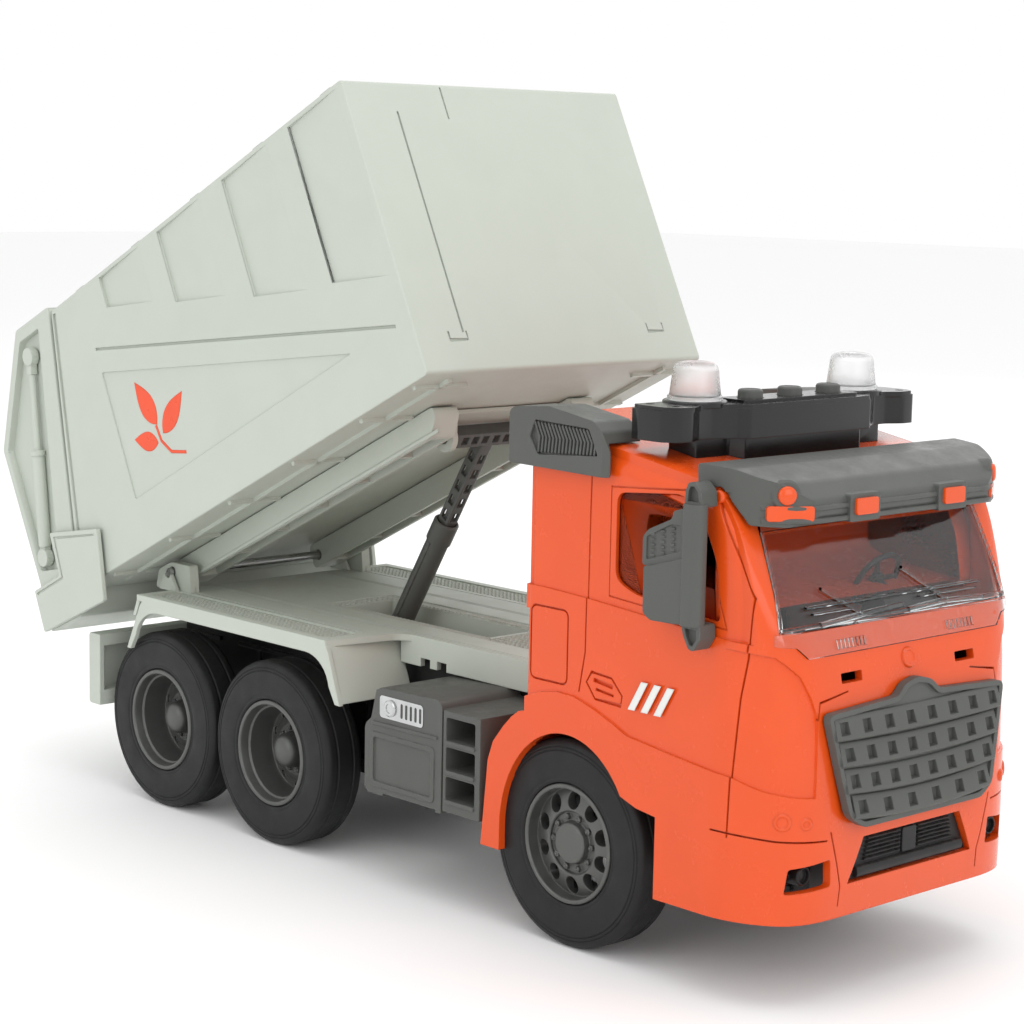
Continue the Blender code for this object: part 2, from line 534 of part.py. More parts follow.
# ---------------------------------------------------------------- tipping body
def tipping_body():
    """Refuse body: a box open at the tail, on two rails with the ears for the strut."""
    wall = 2.0
    side = [(BODY_SEAM, BODY_TOP), (BODY_FRONT, BODY_TOP), (BODY_FRONT, BODY_FLOOR),
            (SEAM_FOOT, BODY_FLOOR)]
    shell = put("body_shell", outline(side, -BODY_HALF, BODY_HALF), PALE, upright(tipped()))
    cut(shell, block((SEAM_FOOT - 5, -BODY_HALF + wall, BODY_FLOOR + wall),
                     (BODY_FRONT - wall, BODY_HALF - wall, BODY_TOP - wall)), tipped())
    for index in range(RIB_COUNT):
        x = RIB_FIRST + RIB_PITCH * index
        join(shell, block((x - RIB_HALF, -BODY_HALF + 4, BODY_TOP - 0.5),
                          (x + RIB_HALF, BODY_HALF - 4, BODY_TOP + 1.4)), tipped())
    pivot_x, pivot_z = TAILGATE_PIVOT
    gate_axis = crosswise(tipped(pivot_x, 0, pivot_z))
    for side in SIDES.values():
        low, high = sorted((side * KNUCKLE_Y, side * (KNUCKLE_Y + 12.0)))
        join(shell, block((pivot_x + 0.6, low, BODY_TOP - 1.0), (pivot_x + 8, high, pivot_z + 1.0)),
             tipped())
        join(shell, cylinder(KNUCKLE_R, low, high, 14), gate_axis)
    cut(shell, cylinder(KNUCKLE_R + GAP, -KNUCKLE_Y + GAP, KNUCKLE_Y - GAP, 14), gate_axis)
    cut(shell, cylinder(KNUCKLE_BORE, -60, 60, 12), gate_axis)
    hinge_pin = put("tailgate_pin", cylinder(KNUCKLE_BORE - 0.35, -37.0, 37.0, 12), STEEL, gate_axis)
    hang("tipping_axis", crosswise(tipped()), [hinge_pin])

    top, bottom = BODY_FLOOR - GAP, BODY_FLOOR - GAP - RAIL_DEPTH
    for side_name, side in SIDES.items():
        rail = [(-4.0, top), (150.0, top), (150.0, top - 2.0)]
        rail += arc((143.0, bottom + 5.0), 5.0, 0, -90, 4) + [(-4.0, bottom)]
        span = side_span(side, RAIL_Y - RAIL_W / 2, RAIL_Y + RAIL_W / 2)
        piece = put("body_rail_" + side_name, outline(rail, *span), PALE, upright(tipped()))
        cut(piece, cylinder(1.9, -60, 60, 14), crosswise(tipped()))
    ear_x, ear_z = STRUT_PIVOT
    between = RAIL_Y - RAIL_W / 2 - GAP
    bracket = put("strut_bracket",
                  block((ear_x - 10, -between, top - 1.4), (ear_x + 12, between, top)), PALE, tipped())
    ear = [(-6.0, top - 0.6 - ear_z), (6.0, top - 0.6 - ear_z)] + arc((0, 0), 4.6, 0, -180, 8)
    for side in SIDES.values():
        join(bracket, outline(ear, *side_span(side, 16.4, 18.6)), upright(tipped(ear_x, 0, ear_z)))
    cut(bracket, cylinder(2.0, -22, 22, 14), crosswise(tipped(ear_x, 0, ear_z)))
    put("tipping_pin", cylinder(1.5, -42.6, 42.6, 14), STEEL, crosswise(tipped()))


def tailgate():
    """Bulged tail with a ram and a corner plate on each side, hung from a pin along the roof."""
    pivot_x, pivot_z = TAILGATE_PIVOT
    gate_axis = crosswise(tipped(pivot_x, 0, pivot_z))
    shape = [(BODY_SEAM - 0.6, BODY_TOP + 2.1), (-28.4, BODY_TOP + 2.6), (-56.6, 68.4), (-54.8, 16.0),
             (-55.3, -3.0), (SEAM_FOOT - 3.0, -3.8), (SEAM_FOOT - 0.6, BODY_FLOOR)]
    gate = put("tailgate", outline(shape, -BODY_HALF - 0.6, BODY_HALF + 0.6), PALE, upright(tipped()))
    scoop = [(5.0, 7.4), (5.0, BODY_TOP - 0.4), (-27.0, BODY_TOP - 0.4), (-54.0, 67.4), (-52.4, 17.0),
             (-52.8, -0.6), (SEAM_FOOT - 5.4, -1.2), (SEAM_FOOT - 3.0, 7.4)]
    cut(gate, outline(scoop, -BODY_HALF + 4.4, BODY_HALF - 4.4), upright(tipped()))
    recess = [(-14.0, 99.4), (-27.4, 99.6), (-53.6, 67.0), (-52.0, 19.4), (-41.0, 17.0)]
    for side in SIDES.values():
        cut(gate, outline(recess, *side_span(side, BODY_HALF - 2.2, BODY_HALF + 5)), upright(tipped()))
        low, high = sorted((side * (KNUCKLE_Y - GAP), side * (KNUCKLE_Y + 12.4)))
        cut(gate, cylinder(KNUCKLE_R + 0.5, low, high, 14), gate_axis)
    join(gate, cylinder(KNUCKLE_R, -KNUCKLE_Y + 0.8, KNUCKLE_Y - 0.8, 14), gate_axis)
    cut(gate, cylinder(KNUCKLE_BORE, -60, 60, 12), gate_axis)
    hung = [gate]
    along = Vector(RAM_TOP) - Vector(RAM_FOOT)
    middle = (Vector(RAM_TOP) + Vector(RAM_FOOT)) / 2
    for side_name, side in SIDES.items():
        centre = tipped(middle.x, side * (BODY_HALF + 0.2), middle.y)
        centre = centre @ Matrix.Rotation(math.atan2(along.x, along.y), 4, "Y")
        reach = along.length / 2
        ram = put("tailgate_ram_" + side_name, cylinder(1.5, 1 - reach, reach - 1, 12), PALE, centre)
        for end in (-reach, reach):
            join(ram, cylinder(3.2, -1.7, 1.7, 12),
                 crosswise(centre @ Matrix.Translation((0, 0, end * MM))))
        plate = [(-37.0, 29.4), (-7.0, 20.6), (-14.2, -4.0), (-56.6, -2.4), (-56.2, 13.4), (-37.8, 13.4)]
        clamp = put("tailgate_clamp_" + side_name,
                    outline(plate, *side_span(side, BODY_HALF + 1.0, BODY_HALF + 2.8)), PALE,
                    upright(tipped()))
        hung += [ram, clamp]
    hang("tailgate_axis", gate_axis, hung)


def strut():
    """Telescopic prop: a tube with its foot in the deck well, and a rod with a cross head."""
    top = BODY_AXIS @ (Vector((STRUT_PIVOT[0], 0, STRUT_PIVOT[1])) * MM)
    foot = Vector((FRONT_AXLE_X + STRUT_FOOT[0], 0, STRUT_FOOT[1])) * MM
    lean = (top - foot).normalized()
    along = Matrix.Translation(foot) @ Matrix.Rotation(math.atan2(lean.x, lean.z), 4, "Y")
    reach = (top - foot).length / MM
    sleeve = put("strut_sleeve", cylinder(SLEEVE_R, -3.0, SLEEVE_L, 20), TRIM, along)
    cut(sleeve, cylinder(ROD_HALF * math.sqrt(2) + 0.3, 4.0, SLEEVE_L + 5, 20), along)
    head = along @ Matrix.Translation((0, 0, reach * MM))
    rod = put("strut_rod", block((-ROD_HALF, -ROD_HALF, -ROD_L), (ROD_HALF, ROD_HALF, 0)), TRIM, head)
    join(rod, block((-2.6, -15.6, -2.6), (2.6, 15.6, 2.6)), head)
    join(rod, cylinder(1.6, -19.4, 19.4, 14), crosswise(head))


# ---------------------------------------------------------------- friction motor
def gear_outline(teeth, thin):
    """Outline of a spur gear with straight-sided teeth, a little thin so that it runs with play."""
    pitch = GEAR_MODULE * teeth / 2
    root, tip = pitch - 1.25 * GEAR_MODULE, pitch + 0.9 * GEAR_MODULE
    points = []
    for tooth in range(teeth):
        centre = 2 * math.pi * tooth / teeth
        half = math.pi / teeth
        for radius, share in ((root, -0.72), (tip, -0.22), (tip, 0.22), (root, 0.72)):
            angle = centre + half * share * thin
            points.append((radius * math.cos(angle), radius * math.sin(angle)))
    return points


def friction_motor():
    """Gear on the middle axle that drives a heavy flywheel through its pinion."""
    x = AXLES["middle"]
    spacing = GEAR_MODULE * (DRIVE_TEETH + PINION_TEETH) / 2 + 0.1
    axle = crosswise(truck(x, 0, AXLE_Z))
    gear = put("drive_gear", outline(gear_outline(DRIVE_TEETH, 0.86), 4, 8), BLACK, axle)
    cut(gear, cylinder(AXLE_R + 0.3, 0, 20, 16), axle)
    turn = Matrix.Rotation(math.pi / PINION_TEETH, 4, "Z")
    centre = truck(x + spacing, 0, AXLE_Z)
    wheel = put("flywheel", outline(gear_outline(PINION_TEETH, 0.86), 3, 9), ZINC, crosswise(centre) @ turn)
    join(wheel, cylinder(6.4, -8.0, -1.0, 28), crosswise(centre))
    join(wheel, cylinder(1.0, -11.4, 11.4, 12), crosswise(centre))
    near, far = x + spacing - 6.4, x + spacing + 9.2
    case = put("motor_case", block((near, -12.4, PAN_FLOOR + 2.4), (far, 12.4, 42.0)), BLACK, truck())
    cut(case, block((near - 2, -10.4, PAN_FLOOR), (far - 1.8, 10.4, 40.2)), truck())
    cut(case, cylinder(1.3, -30, 30, 12), crosswise(centre))


def build():
    """Every piece, from the wheels up."""
    wheels()
    chassis()
    bar_across()
    deck()
    cab()
    cab_fittings()
    light_bar()
    side_lockers()
    tipping_body()
    tailgate()
    strut()
    friction_motor()


build()
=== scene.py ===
import math

import bmesh
import bpy
import numpy as np
from mathutils import Matrix, Vector, noise


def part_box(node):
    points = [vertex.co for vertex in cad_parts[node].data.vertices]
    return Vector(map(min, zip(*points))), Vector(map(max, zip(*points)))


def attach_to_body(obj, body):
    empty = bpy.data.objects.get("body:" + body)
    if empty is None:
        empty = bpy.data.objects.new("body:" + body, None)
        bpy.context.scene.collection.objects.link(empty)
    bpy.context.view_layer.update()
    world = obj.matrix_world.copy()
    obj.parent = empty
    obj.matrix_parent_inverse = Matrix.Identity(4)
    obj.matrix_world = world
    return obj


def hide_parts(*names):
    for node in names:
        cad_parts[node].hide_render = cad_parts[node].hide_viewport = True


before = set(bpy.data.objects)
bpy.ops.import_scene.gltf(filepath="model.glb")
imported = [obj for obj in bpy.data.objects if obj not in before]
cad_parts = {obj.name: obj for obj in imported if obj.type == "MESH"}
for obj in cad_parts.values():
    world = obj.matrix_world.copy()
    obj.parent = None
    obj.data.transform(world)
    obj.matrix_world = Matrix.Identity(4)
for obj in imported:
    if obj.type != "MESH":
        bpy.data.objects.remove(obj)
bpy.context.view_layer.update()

# Studio: a three-quarter view from the front right of the truck, a long lens, a pale floor that
# runs into a pale backdrop, and wide soft lamps overhead, in front and on both sides.
VIEW_AZIMUTH, VIEW_ELEVATION, VIEW_ROLL = (math.radians(angle) for angle in (47.08, 8.0, 1.11))
back = Vector((math.sin(VIEW_AZIMUTH) * math.cos(VIEW_ELEVATION),
               -math.cos(VIEW_AZIMUTH) * math.cos(VIEW_ELEVATION), math.sin(VIEW_ELEVATION)))
level = Vector((math.cos(VIEW_AZIMUTH), math.sin(VIEW_AZIMUTH), 0.0))
above = back.cross(level)
sideways = level * math.cos(VIEW_ROLL) + above * math.sin(VIEW_ROLL)
upward = above * math.cos(VIEW_ROLL) - level * math.sin(VIEW_ROLL)
lens = bpy.data.cameras.new("studio_camera")
lens.lens = 86.1
lens.sensor_width = 36.0
lens.clip_start = 0.05
camera = bpy.data.objects.new("studio_camera", lens)
turn = Matrix((sideways, upward, back)).transposed()
camera.matrix_world = Matrix.Translation((0.5995, -0.5375, 0.2251)) @ turn.to_4x4()
bpy.context.collection.objects.link(camera)
bpy.context.scene.camera = camera
bpy.context.scene.view_settings.view_transform = "Standard"


def soft_lamp(name, place, aim, width, height, power, colour=(1.0, 1.0, 1.0)):
    """A rectangular studio lamp that points at a spot."""
    lamp = bpy.data.lights.new(name, "AREA")
    lamp.shape = "RECTANGLE"
    lamp.size = width
    lamp.size_y = height
    lamp.energy = power
    lamp.color = colour
    holder = bpy.data.objects.new(name, lamp)
    direction = Vector(aim) - Vector(place)
    holder.matrix_world = Matrix.Translation(place) @ direction.to_track_quat("-Z",
                                                                              "Y").to_matrix().to_4x4()
    bpy.context.collection.objects.link(holder)


soft_lamp("overhead_lamp", (0.1, -0.1, 1.5), (0.0, 0.0, 0.1), 1.3, 1.0, 5.5)
soft_lamp("front_lamp", (1.5, -0.35, 0.75), (0.0, 0.0, 0.12), 0.9, 0.9, 4.0)
soft_lamp("side_lamp", (0.1, -1.5, 0.7), (0.0, 0.0, 0.12), 1.1, 0.8, 2.6)
soft_lamp("far_side_lamp", (-0.5, 1.5, 0.9), (0.0, 0.0, 0.12), 1.1, 0.8, 2.4)
world = bpy.data.worlds.new("studio_air")
world.use_nodes = True
world.node_tree.nodes["Background"].inputs["Color"].default_value = (1.0, 1.0, 1.0, 1.0)
world.node_tree.nodes["Background"].inputs["Strength"].default_value = 1.0
bpy.context.scene.world = world

floor_sheet = bpy.data.materials.new("floor_sheet")
floor_sheet.use_nodes = True
floor_sheet.node_tree.nodes["Principled BSDF"].inputs["Base Color"].default_value = (0.95, 0.95, 0.95, 1.0)
floor_sheet.node_tree.nodes["Principled BSDF"].inputs["Roughness"].default_value = 0.9
floor_mesh = bpy.data.meshes.new("studio_floor")
floor_mesh.from_pydata([(-6, -6, 0), (6, -6, 0), (6, 6, 0), (-6, 6, 0)], [], [(0, 1, 2, 3)])
floor_mesh.materials.append(floor_sheet)
studio_floor = bpy.data.objects.new("studio_floor", floor_mesh)
bpy.context.collection.objects.link(studio_floor)

# Chassis: a black tray of moulded ABS, open at the top, that the deck and cab are screwed down on.
# It carries the three axles in bosses and has bracing ribs on its sides, a battery lid with a
# screw and a grid of ribs under the tail.
MM = 0.001
front_low, front_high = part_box("front_axle")
FRONT_X = (front_low.x + front_high.x) / 2 / MM
AXLE_Z = (front_low.z + front_high.z) / 2 / MM
SIDES = {"left": 1, "right": -1}


def truck(x=0.0, y=0.0, z=0.0):
    """Placement in millimetres, x counted from the front axle."""
    return Matrix.Translation((FRONT_X + x, y, z))


def upright(matrix):
    """An outline drawn in XY stands in XZ, its thickness running towards -Y."""
    return matrix @ Matrix.Rotation(math.pi / 2, 4, "X")


def facing(matrix):
    """An outline drawn in XY faces forward: its x runs along Y, its y up, its thickness along X."""
    return matrix @ Matrix(((0, 0, 1, 0), (1, 0, 0, 0), (0, 1, 0, 0), (0, 0, 0, 1)))


def span(side, inner, outer):
    """Thickness range of an upright outline between two distances from the centre line."""
    return (-outer, -inner) if side > 0 else (inner, outer)


def prism(points, low, high):
    """Outline in XY made thick from low to high."""
    shape = bmesh.new()
    rings = [[shape.verts.new((x, y, z)) for x, y in points] for z in (low, high)]
    shape.faces.new(rings[0])
    shape.faces.new(list(reversed(rings[1])))
    for index in range(len(points)):
        following = (index + 1) % len(points)
        shape.faces.new((rings[0][index], rings[1][index], rings[1][following], rings[0][following]))
    bmesh.ops.recalc_face_normals(shape, faces=shape.faces)
    return shape


def box(low, high):
    """Rectangular block between two corners."""
    return prism([(low[0], low[1]), (high[0], low[1]), (high[0], high[1]), (low[0], high[1])], low[2],
                 high[2])


def arc(centre, radius, start, end, steps):
    """Points of an arc, angles in degrees; radius may be a pair of semi-axes."""
    across, along = radius if isinstance(radius, tuple) else (radius, radius)
    turns = [math.radians(start + (end - start) * step / steps) for step in range(steps + 1)]
    return [(centre[0] + across * math.cos(a), centre[1] + along * math.sin(a)) for a in turns]


def rounded(low, high, radius, steps=4):
    """Rectangle outline with round corners."""
    (x0, y0), (x1, y1) = low, high
    corners = (((x1 - radius, y1 - radius), 0), ((x0 + radius, y1 - radius), 90),
               ((x0 + radius, y0 + radius), 180), ((x1 - radius, y0 + radius), 270))
    return [point for centre, start in corners for point in arc(centre, radius, start, start + 90, steps)]


def lathe(profile, steps=96, closed=True):
    """Ring or disc turned about Z from (radius, height) points; closed joins the last to the first."""
    shape = bmesh.new()
    rings = []
    for radius, height in profile:
        if radius < 1e-6:
            rings.append([shape.verts.new((0, 0, height))])
        else:
            rings.append([shape.verts.new((radius * math.cos(2 * math.pi * s / steps),
                                           radius * math.sin(2 * math.pi * s / steps), height))
                          for s in range(steps)])
    pairs = list(zip(rings, rings[1:] + rings[:1] if closed else rings[1:]))
    for one, two in pairs:
        for step in range(steps):
            after = (step + 1) % steps
            if len(one) == 1 and len(two) == 1:
                break
            if len(one) == 1:
                shape.faces.new((one[0], two[step], two[after]))
            elif len(two) == 1:
                shape.faces.new((one[step], two[0], one[after]))
            else:
                shape.faces.new((one[step], two[step], two[after], one[after]))
    bmesh.ops.recalc_face_normals(shape, faces=shape.faces)
    return shape


def disc(radius, low, high, steps=32, edge=0.0):
    """Round bar about Z, with its top edge broken."""
    rim = [(radius, low), (radius, high - edge)] + ([(radius - edge, high)] if edge else [])
    return lathe([(0, low)] + rim + [(0, high)], steps, closed=False)


def moved(shape, matrix):
    """The shape, put in place."""
    bmesh.ops.transform(shape, matrix=matrix, verts=shape.verts)
    if matrix.determinant() < 0:
        bmesh.ops.reverse_faces(shape, faces=shape.faces)
    return shape


def block(low, high, place=None):
    """Rectangular block between two corners of the truck's frame, or of the one that is given."""
    return moved(box(low, high), place or truck())


def together(shapes):
    """Several closed shapes in one mesh; the originals are used up."""
    whole = bmesh.new()
    keep = bpy.data.meshes.new("gathered")
    for shape in shapes:
        shape.to_mesh(keep)
        whole.from_mesh(keep)
        shape.free()
    bpy.data.meshes.remove(keep)
    return whole


def solid(name, shape, place=Matrix()):
    """A new object from a shape in millimetres, standing at a placement in millimetres."""
    mesh = bpy.data.meshes.new(name)
    bmesh.ops.scale(shape, vec=(MM, MM, MM), verts=shape.verts)
    shape.to_mesh(mesh)
    shape.free()
    made = bpy.data.objects.new(name, mesh)
    stand = place.copy()
    stand.translation = stand.translation * MM
    made.matrix_world = stand
    bpy.context.collection.objects.link(made)
    return made


def settle(piece):
    """Turn a piece's modifiers into its mesh."""
    bpy.context.view_layer.update()
    mesh = bpy.data.meshes.new_from_object(piece.evaluated_get(bpy.context.evaluated_depsgraph_get()))
    worn_out = piece.data
    piece.modifiers.clear()
    piece.data = mesh
    bpy.data.meshes.remove(worn_out)


def carve(piece, shape, operation="DIFFERENCE", crossing=False):
    """Take a shape in world millimetres from a piece, or add it with UNION."""
    tool = solid("tool", shape)
    step = piece.modifiers.new("carve", "BOOLEAN")
    step.operation = operation
    step.solver = "EXACT"
    step.use_self = crossing
    step.object = tool
    settle(piece)
    bpy.data.objects.remove(tool, do_unlink=True)
    return piece


def polish(piece, angle=32.0, edge=0.0, segments=2, limit=35.0):
    """Smooth shading that keeps corners, and broken edges where edge is given."""
    for face in piece.data.polygons:
        face.use_smooth = True
    if edge:
        bevel = piece.modifiers.new("broken edges", "BEVEL")
        bevel.width = edge * MM
        bevel.segments = segments
        bevel.limit_method = "ANGLE"
        bevel.angle_limit = math.radians(limit)
        bevel.harden_normals = True
    else:
        piece.data.set_sharp_from_angle(angle=math.radians(angle))
        evened = piece.modifiers.new("even shading", "WEIGHTED_NORMAL")
        evened.keep_sharp = True
    return piece


def shared_nodes(name, sockets):
    """An empty shader node group with its inputs and outputs."""
    group = bpy.data.node_groups.new(name, "ShaderNodeTree")
    for label, way, kind, value in sockets:
        made = group.interface.new_socket(name=label, in_out=way, socket_type="NodeSocket" + kind)
        if value is not None:
            made.default_value = value
    return group, group.nodes.new("NodeGroupInput"), group.nodes.new("NodeGroupOutput")


def add(tree, kind, links=(), **settings):
    """A node with its settings and incoming links; a link is (socket, source socket or number)."""
    node = tree.nodes.new("ShaderNode" + kind)
    for key, value in settings.items():
        setattr(node, key, value)
    for socket, source in links:
        if isinstance(source, bpy.types.NodeSocket):
            tree.links.new(source, node.inputs[socket])
        else:
            node.inputs[socket].default_value = source
    return node


def moulding_marks():
    """Uneven shine, cloudy colour and a fine pebbled surface, as moulded plastic has."""
    group, given, result = shared_nodes("moulding_marks", [
        ("Grain Size", "INPUT", "Float", 0.35), ("Cloud Size", "INPUT", "Float", 18.0),
        ("Height", "OUTPUT", "Float", None), ("Cloud", "OUTPUT", "Float", None),
        ("Shine", "OUTPUT", "Float", None)])
    tree = group
    where = add(tree, "TexCoord").outputs["Object"]
    to_mm = add(tree, "VectorMath", [(0, where), ("Scale", 1000.0)], operation="SCALE").outputs[0]
    fine_scale = add(tree, "Math", [(0, 1.0), (1, given.outputs["Grain Size"])],
                     operation="DIVIDE").outputs[0]
    wide_scale = add(tree, "Math", [(0, 1.0), (1, given.outputs["Cloud Size"])],
                     operation="DIVIDE").outputs[0]
    fine = add(tree, "TexNoise", [("Vector", to_mm), ("Scale", fine_scale), ("Detail", 2.0)])
    wide = add(tree, "TexNoise", [("Vector", to_mm), ("Scale", wide_scale), ("Detail", 3.0),
                                  ("Distortion", 0.6)])
    flow = add(tree, "TexNoise", [("Vector", to_mm), ("Scale", 0.11), ("Detail", 5.0), ("Roughness", 0.62)])
    swell = add(tree, "Math", [(0, wide.outputs["Fac"]), (1, 3.0)], operation="MULTIPLY").outputs[0]
    height = add(tree, "Math", [(0, fine.outputs["Fac"]), (1, swell)], operation="ADD").outputs[0]
    tree.links.new(height, result.inputs["Height"])
    tree.links.new(wide.outputs["Fac"], result.inputs["Cloud"])
    tree.links.new(flow.outputs["Fac"], result.inputs["Shine"])
    return group


def rubbed_edges():
    """Mask of the corners where handling has rubbed a surface: white on edges, broken up by noise."""
    group, given, result = shared_nodes("rubbed_edges", [
        ("Width", "INPUT", "Float", 0.0006), ("Mask", "OUTPUT", "Float", None),
        ("Normal", "OUTPUT", "Vector", None)])
    tree = group
    soft = add(tree, "Bevel", [("Radius", given.outputs["Width"])], samples=4).outputs["Normal"]
    flat = add(tree, "NewGeometry").outputs["Normal"]
    same = add(tree, "VectorMath", [(0, soft), (1, flat)], operation="DOT_PRODUCT").outputs["Value"]
    bent = add(tree, "MapRange", [("Value", same), ("From Min", 0.99), ("From Max", 0.8)]).outputs[0]
    where = add(tree, "TexCoord").outputs["Object"]
    patchy = add(tree, "TexNoise", [("Vector", where), ("Scale", 260.0), ("Detail", 6.0)]).outputs["Fac"]
    broken = add(tree, "MapRange", [("Value", patchy), ("From Min", 0.42), ("From Max", 0.66)]).outputs[0]
    mask = add(tree, "Math", [(0, bent), (1, broken)], operation="MULTIPLY").outputs[0]
    tree.links.new(mask, result.inputs["Mask"])
    tree.links.new(soft, result.inputs["Normal"])
    return group


def shelf_dust():
    """Mask of the thin dust that lies on surfaces that face up."""
    group, given, result = shared_nodes("shelf_dust", [
        ("Amount", "INPUT", "Float", 0.2), ("Mask", "OUTPUT", "Float", None)])
    tree = group
    up = add(tree, "SeparateXYZ", [(0, add(tree, "NewGeometry").outputs["Normal"])]).outputs["Z"]
    lying = add(tree, "MapRange", [("Value", up), ("From Min", 0.3), ("From Max", 1.0)]).outputs[0]
    where = add(tree, "TexCoord").outputs["Object"]
    specks = add(tree, "TexNoise", [("Vector", where), ("Scale", 700.0), ("Detail", 8.0)]).outputs["Fac"]
    patchy = add(tree, "MapRange", [("Value", specks), ("From Min", 0.35), ("From Max", 0.75)]).outputs[0]
    mask = add(tree, "Math", [(0, lying), (1, patchy)], operation="MULTIPLY").outputs[0]
    scaled = add(tree, "Math", [(0, mask), (1, given.outputs["Amount"])], operation="MULTIPLY").outputs[0]
    tree.links.new(scaled, result.inputs["Mask"])
    return group


MARKS, RUBBED, DUST = moulding_marks(), rubbed_edges(), shelf_dust()


def moulded(name, colour, rough, worn=None, wear=0.35, grain=0.35, bump=0.02, edge=0.0005, dust=0.12,
            tint=0.07, metallic=0.0, coat=0.0, dusty=(0.45, 0.44, 0.41)):
    """Moulded plastic: cloudy colour, uneven shine, pebbled skin, paler rubbed corners and dust."""
    made = bpy.data.materials.new(name)
    made.use_nodes = True
    tree = made.node_tree
    shader = tree.nodes["Principled BSDF"]
    marks = add(tree, "Group", node_tree=MARKS)
    marks.inputs["Grain Size"].default_value = grain
    rubbed = add(tree, "Group", node_tree=RUBBED)
    rubbed.inputs["Width"].default_value = edge
    lying = add(tree, "Group", node_tree=DUST)
    lying.inputs["Amount"].default_value = dust
    darker = tuple(channel * (1 - tint) for channel in colour)
    lighter = tuple(min(1.0, channel * (1 + tint)) for channel in colour)
    worn = worn or tuple(min(1.0, channel * 1.35 + 0.02) for channel in colour)
    base = add(tree, "Mix", [(0, marks.outputs["Cloud"]), (6, (*darker, 1)), (7, (*lighter, 1))],
               data_type="RGBA").outputs[2]
    scuff = add(tree, "Math", [(0, rubbed.outputs["Mask"]), (1, wear)], operation="MULTIPLY").outputs[0]
    base = add(tree, "Mix", [(0, scuff), (6, base), (7, (*worn, 1))], data_type="RGBA").outputs[2]
    base = add(tree, "Mix", [(0, lying.outputs["Mask"]), (6, base), (7, (*dusty, 1))],
               data_type="RGBA").outputs[2]
    tree.links.new(base, shader.inputs["Base Color"])
    shine = add(tree, "MapRange", [("Value", marks.outputs["Shine"]), ("From Min", 0.3), ("From Max", 0.7),
                                   ("To Min", rough * 0.82), ("To Max", rough * 1.22)]).outputs[0]
    dull = add(tree, "Math", [(0, lying.outputs["Mask"]), (1, shine)], operation="ADD").outputs[0]
    tree.links.new(dull, shader.inputs["Roughness"])
    relief = add(tree, "Bump", [("Strength", 1.0), ("Distance", bump * MM),
                                ("Height", marks.outputs["Height"]),
                                ("Normal", rubbed.outputs["Normal"])]).outputs[0]
    tree.links.new(relief, shader.inputs["Normal"])
    shader.inputs["Specular IOR Level"].default_value = 0.3
    shader.inputs["Metallic"].default_value = metallic
    shader.inputs["Coat Weight"].default_value = coat
    shader.inputs["Coat Roughness"].default_value = 0.12
    return made


def coat(piece, material):
    """One material on the whole piece."""
    piece.data.materials.clear()
    piece.data.materials.append(material)
    return piece


def finished(piece, material, body, slot, *nodes):
    """Give a piece its material, let it ride on a body and let it stand for its solids."""
    coat(piece, material)
    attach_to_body(piece, body)
    if nodes:
        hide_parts(*nodes)
    return piece


def dress(node, material):
    """A better material on a solid that stays."""
    solid_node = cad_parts[node]
    for socket in solid_node.material_slots:
        socket.material = material
    for face in solid_node.data.polygons:
        face.use_smooth = True
    return solid_node


black_abs = moulded("black_abs", (0.009, 0.009, 0.0095), 0.38, worn=(0.035, 0.035, 0.035), dust=0.03)
tray_low, tray_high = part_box("chassis_base")
TRAY_BACK, TRAY_FRONT = tray_low.x / MM - FRONT_X, tray_high.x / MM - FRONT_X
TRAY_HALF, TRAY_FLOOR = 24.0, 22.0
AXLES = {"front": 0.0, "middle": -141.7, "rear": -204.6}
AXLE_R, BOSS_OUT = 2.0, 38.3

tray = solid("chassis_tray", prism([(TRAY_BACK, TRAY_FLOOR + 3), (TRAY_BACK + 3, TRAY_FLOOR),
                                    (TRAY_FRONT - 3, TRAY_FLOOR), (TRAY_FRONT, TRAY_FLOOR + 3),
                                    (TRAY_FRONT, 58), (-16, 58), (-16, 66), (TRAY_BACK, 66)],
                                   -TRAY_HALF, TRAY_HALF), upright(truck()))
carve(tray, block((TRAY_BACK + 2, -TRAY_HALF + 2, TRAY_FLOOR + 2), (TRAY_FRONT - 2, TRAY_HALF - 2, 80)))
bosses = []
for x in AXLES.values():
    for side in SIDES.values():
        low, high = sorted((side * (TRAY_HALF - 1), side * BOSS_OUT))
        bosses.append(moved(box((-4.5, low, -5.5), (4.5, high, 5.5)), truck(x, 0, AXLE_Z)))
carve(tray, together(bosses), "UNION")
ribs = []
for side in SIDES.values():
    for index in range(24):
        x = TRAY_BACK + 9 + 12.0 * index
        if min(abs(x - axle) for axle in AXLES.values()) < 7:
            continue
        low, high = sorted((side * (TRAY_HALF - 0.5), side * (TRAY_HALF + 0.9)))
        ribs.append(block((x - 0.6, low, TRAY_FLOOR + 4), (x + 0.6, high, 56)))
    for z in (TRAY_FLOOR + 3.4, 55.0):
        low, high = sorted((side * (TRAY_HALF - 0.5), side * (TRAY_HALF + 1.0)))
        for start, end in ((-228, -210), (-199, -147), (-136, -6), (6, 60)):
            ribs.append(block((start, low, z), (end, high, z + 1.4)))
for index in range(9):
    x = TRAY_BACK + 12 + 17.0 * index
    if min(abs(x - axle) for axle in AXLES.values()) > 5:
        ribs.append(block((x, -20, TRAY_FLOOR - 0.7), (x + 1.2, 20, TRAY_FLOOR + 1)))
carve(tray, together(ribs), "UNION", crossing=True)
hollows = [block((-64, -14.4, TRAY_FLOOR - 2), (-30, 14.4, TRAY_FLOOR + 3))]
for x in AXLES.values():
    hollows.append(moved(disc(AXLE_R + 0.4, -60, 60, 24), upright(truck(x, 0, AXLE_Z))))
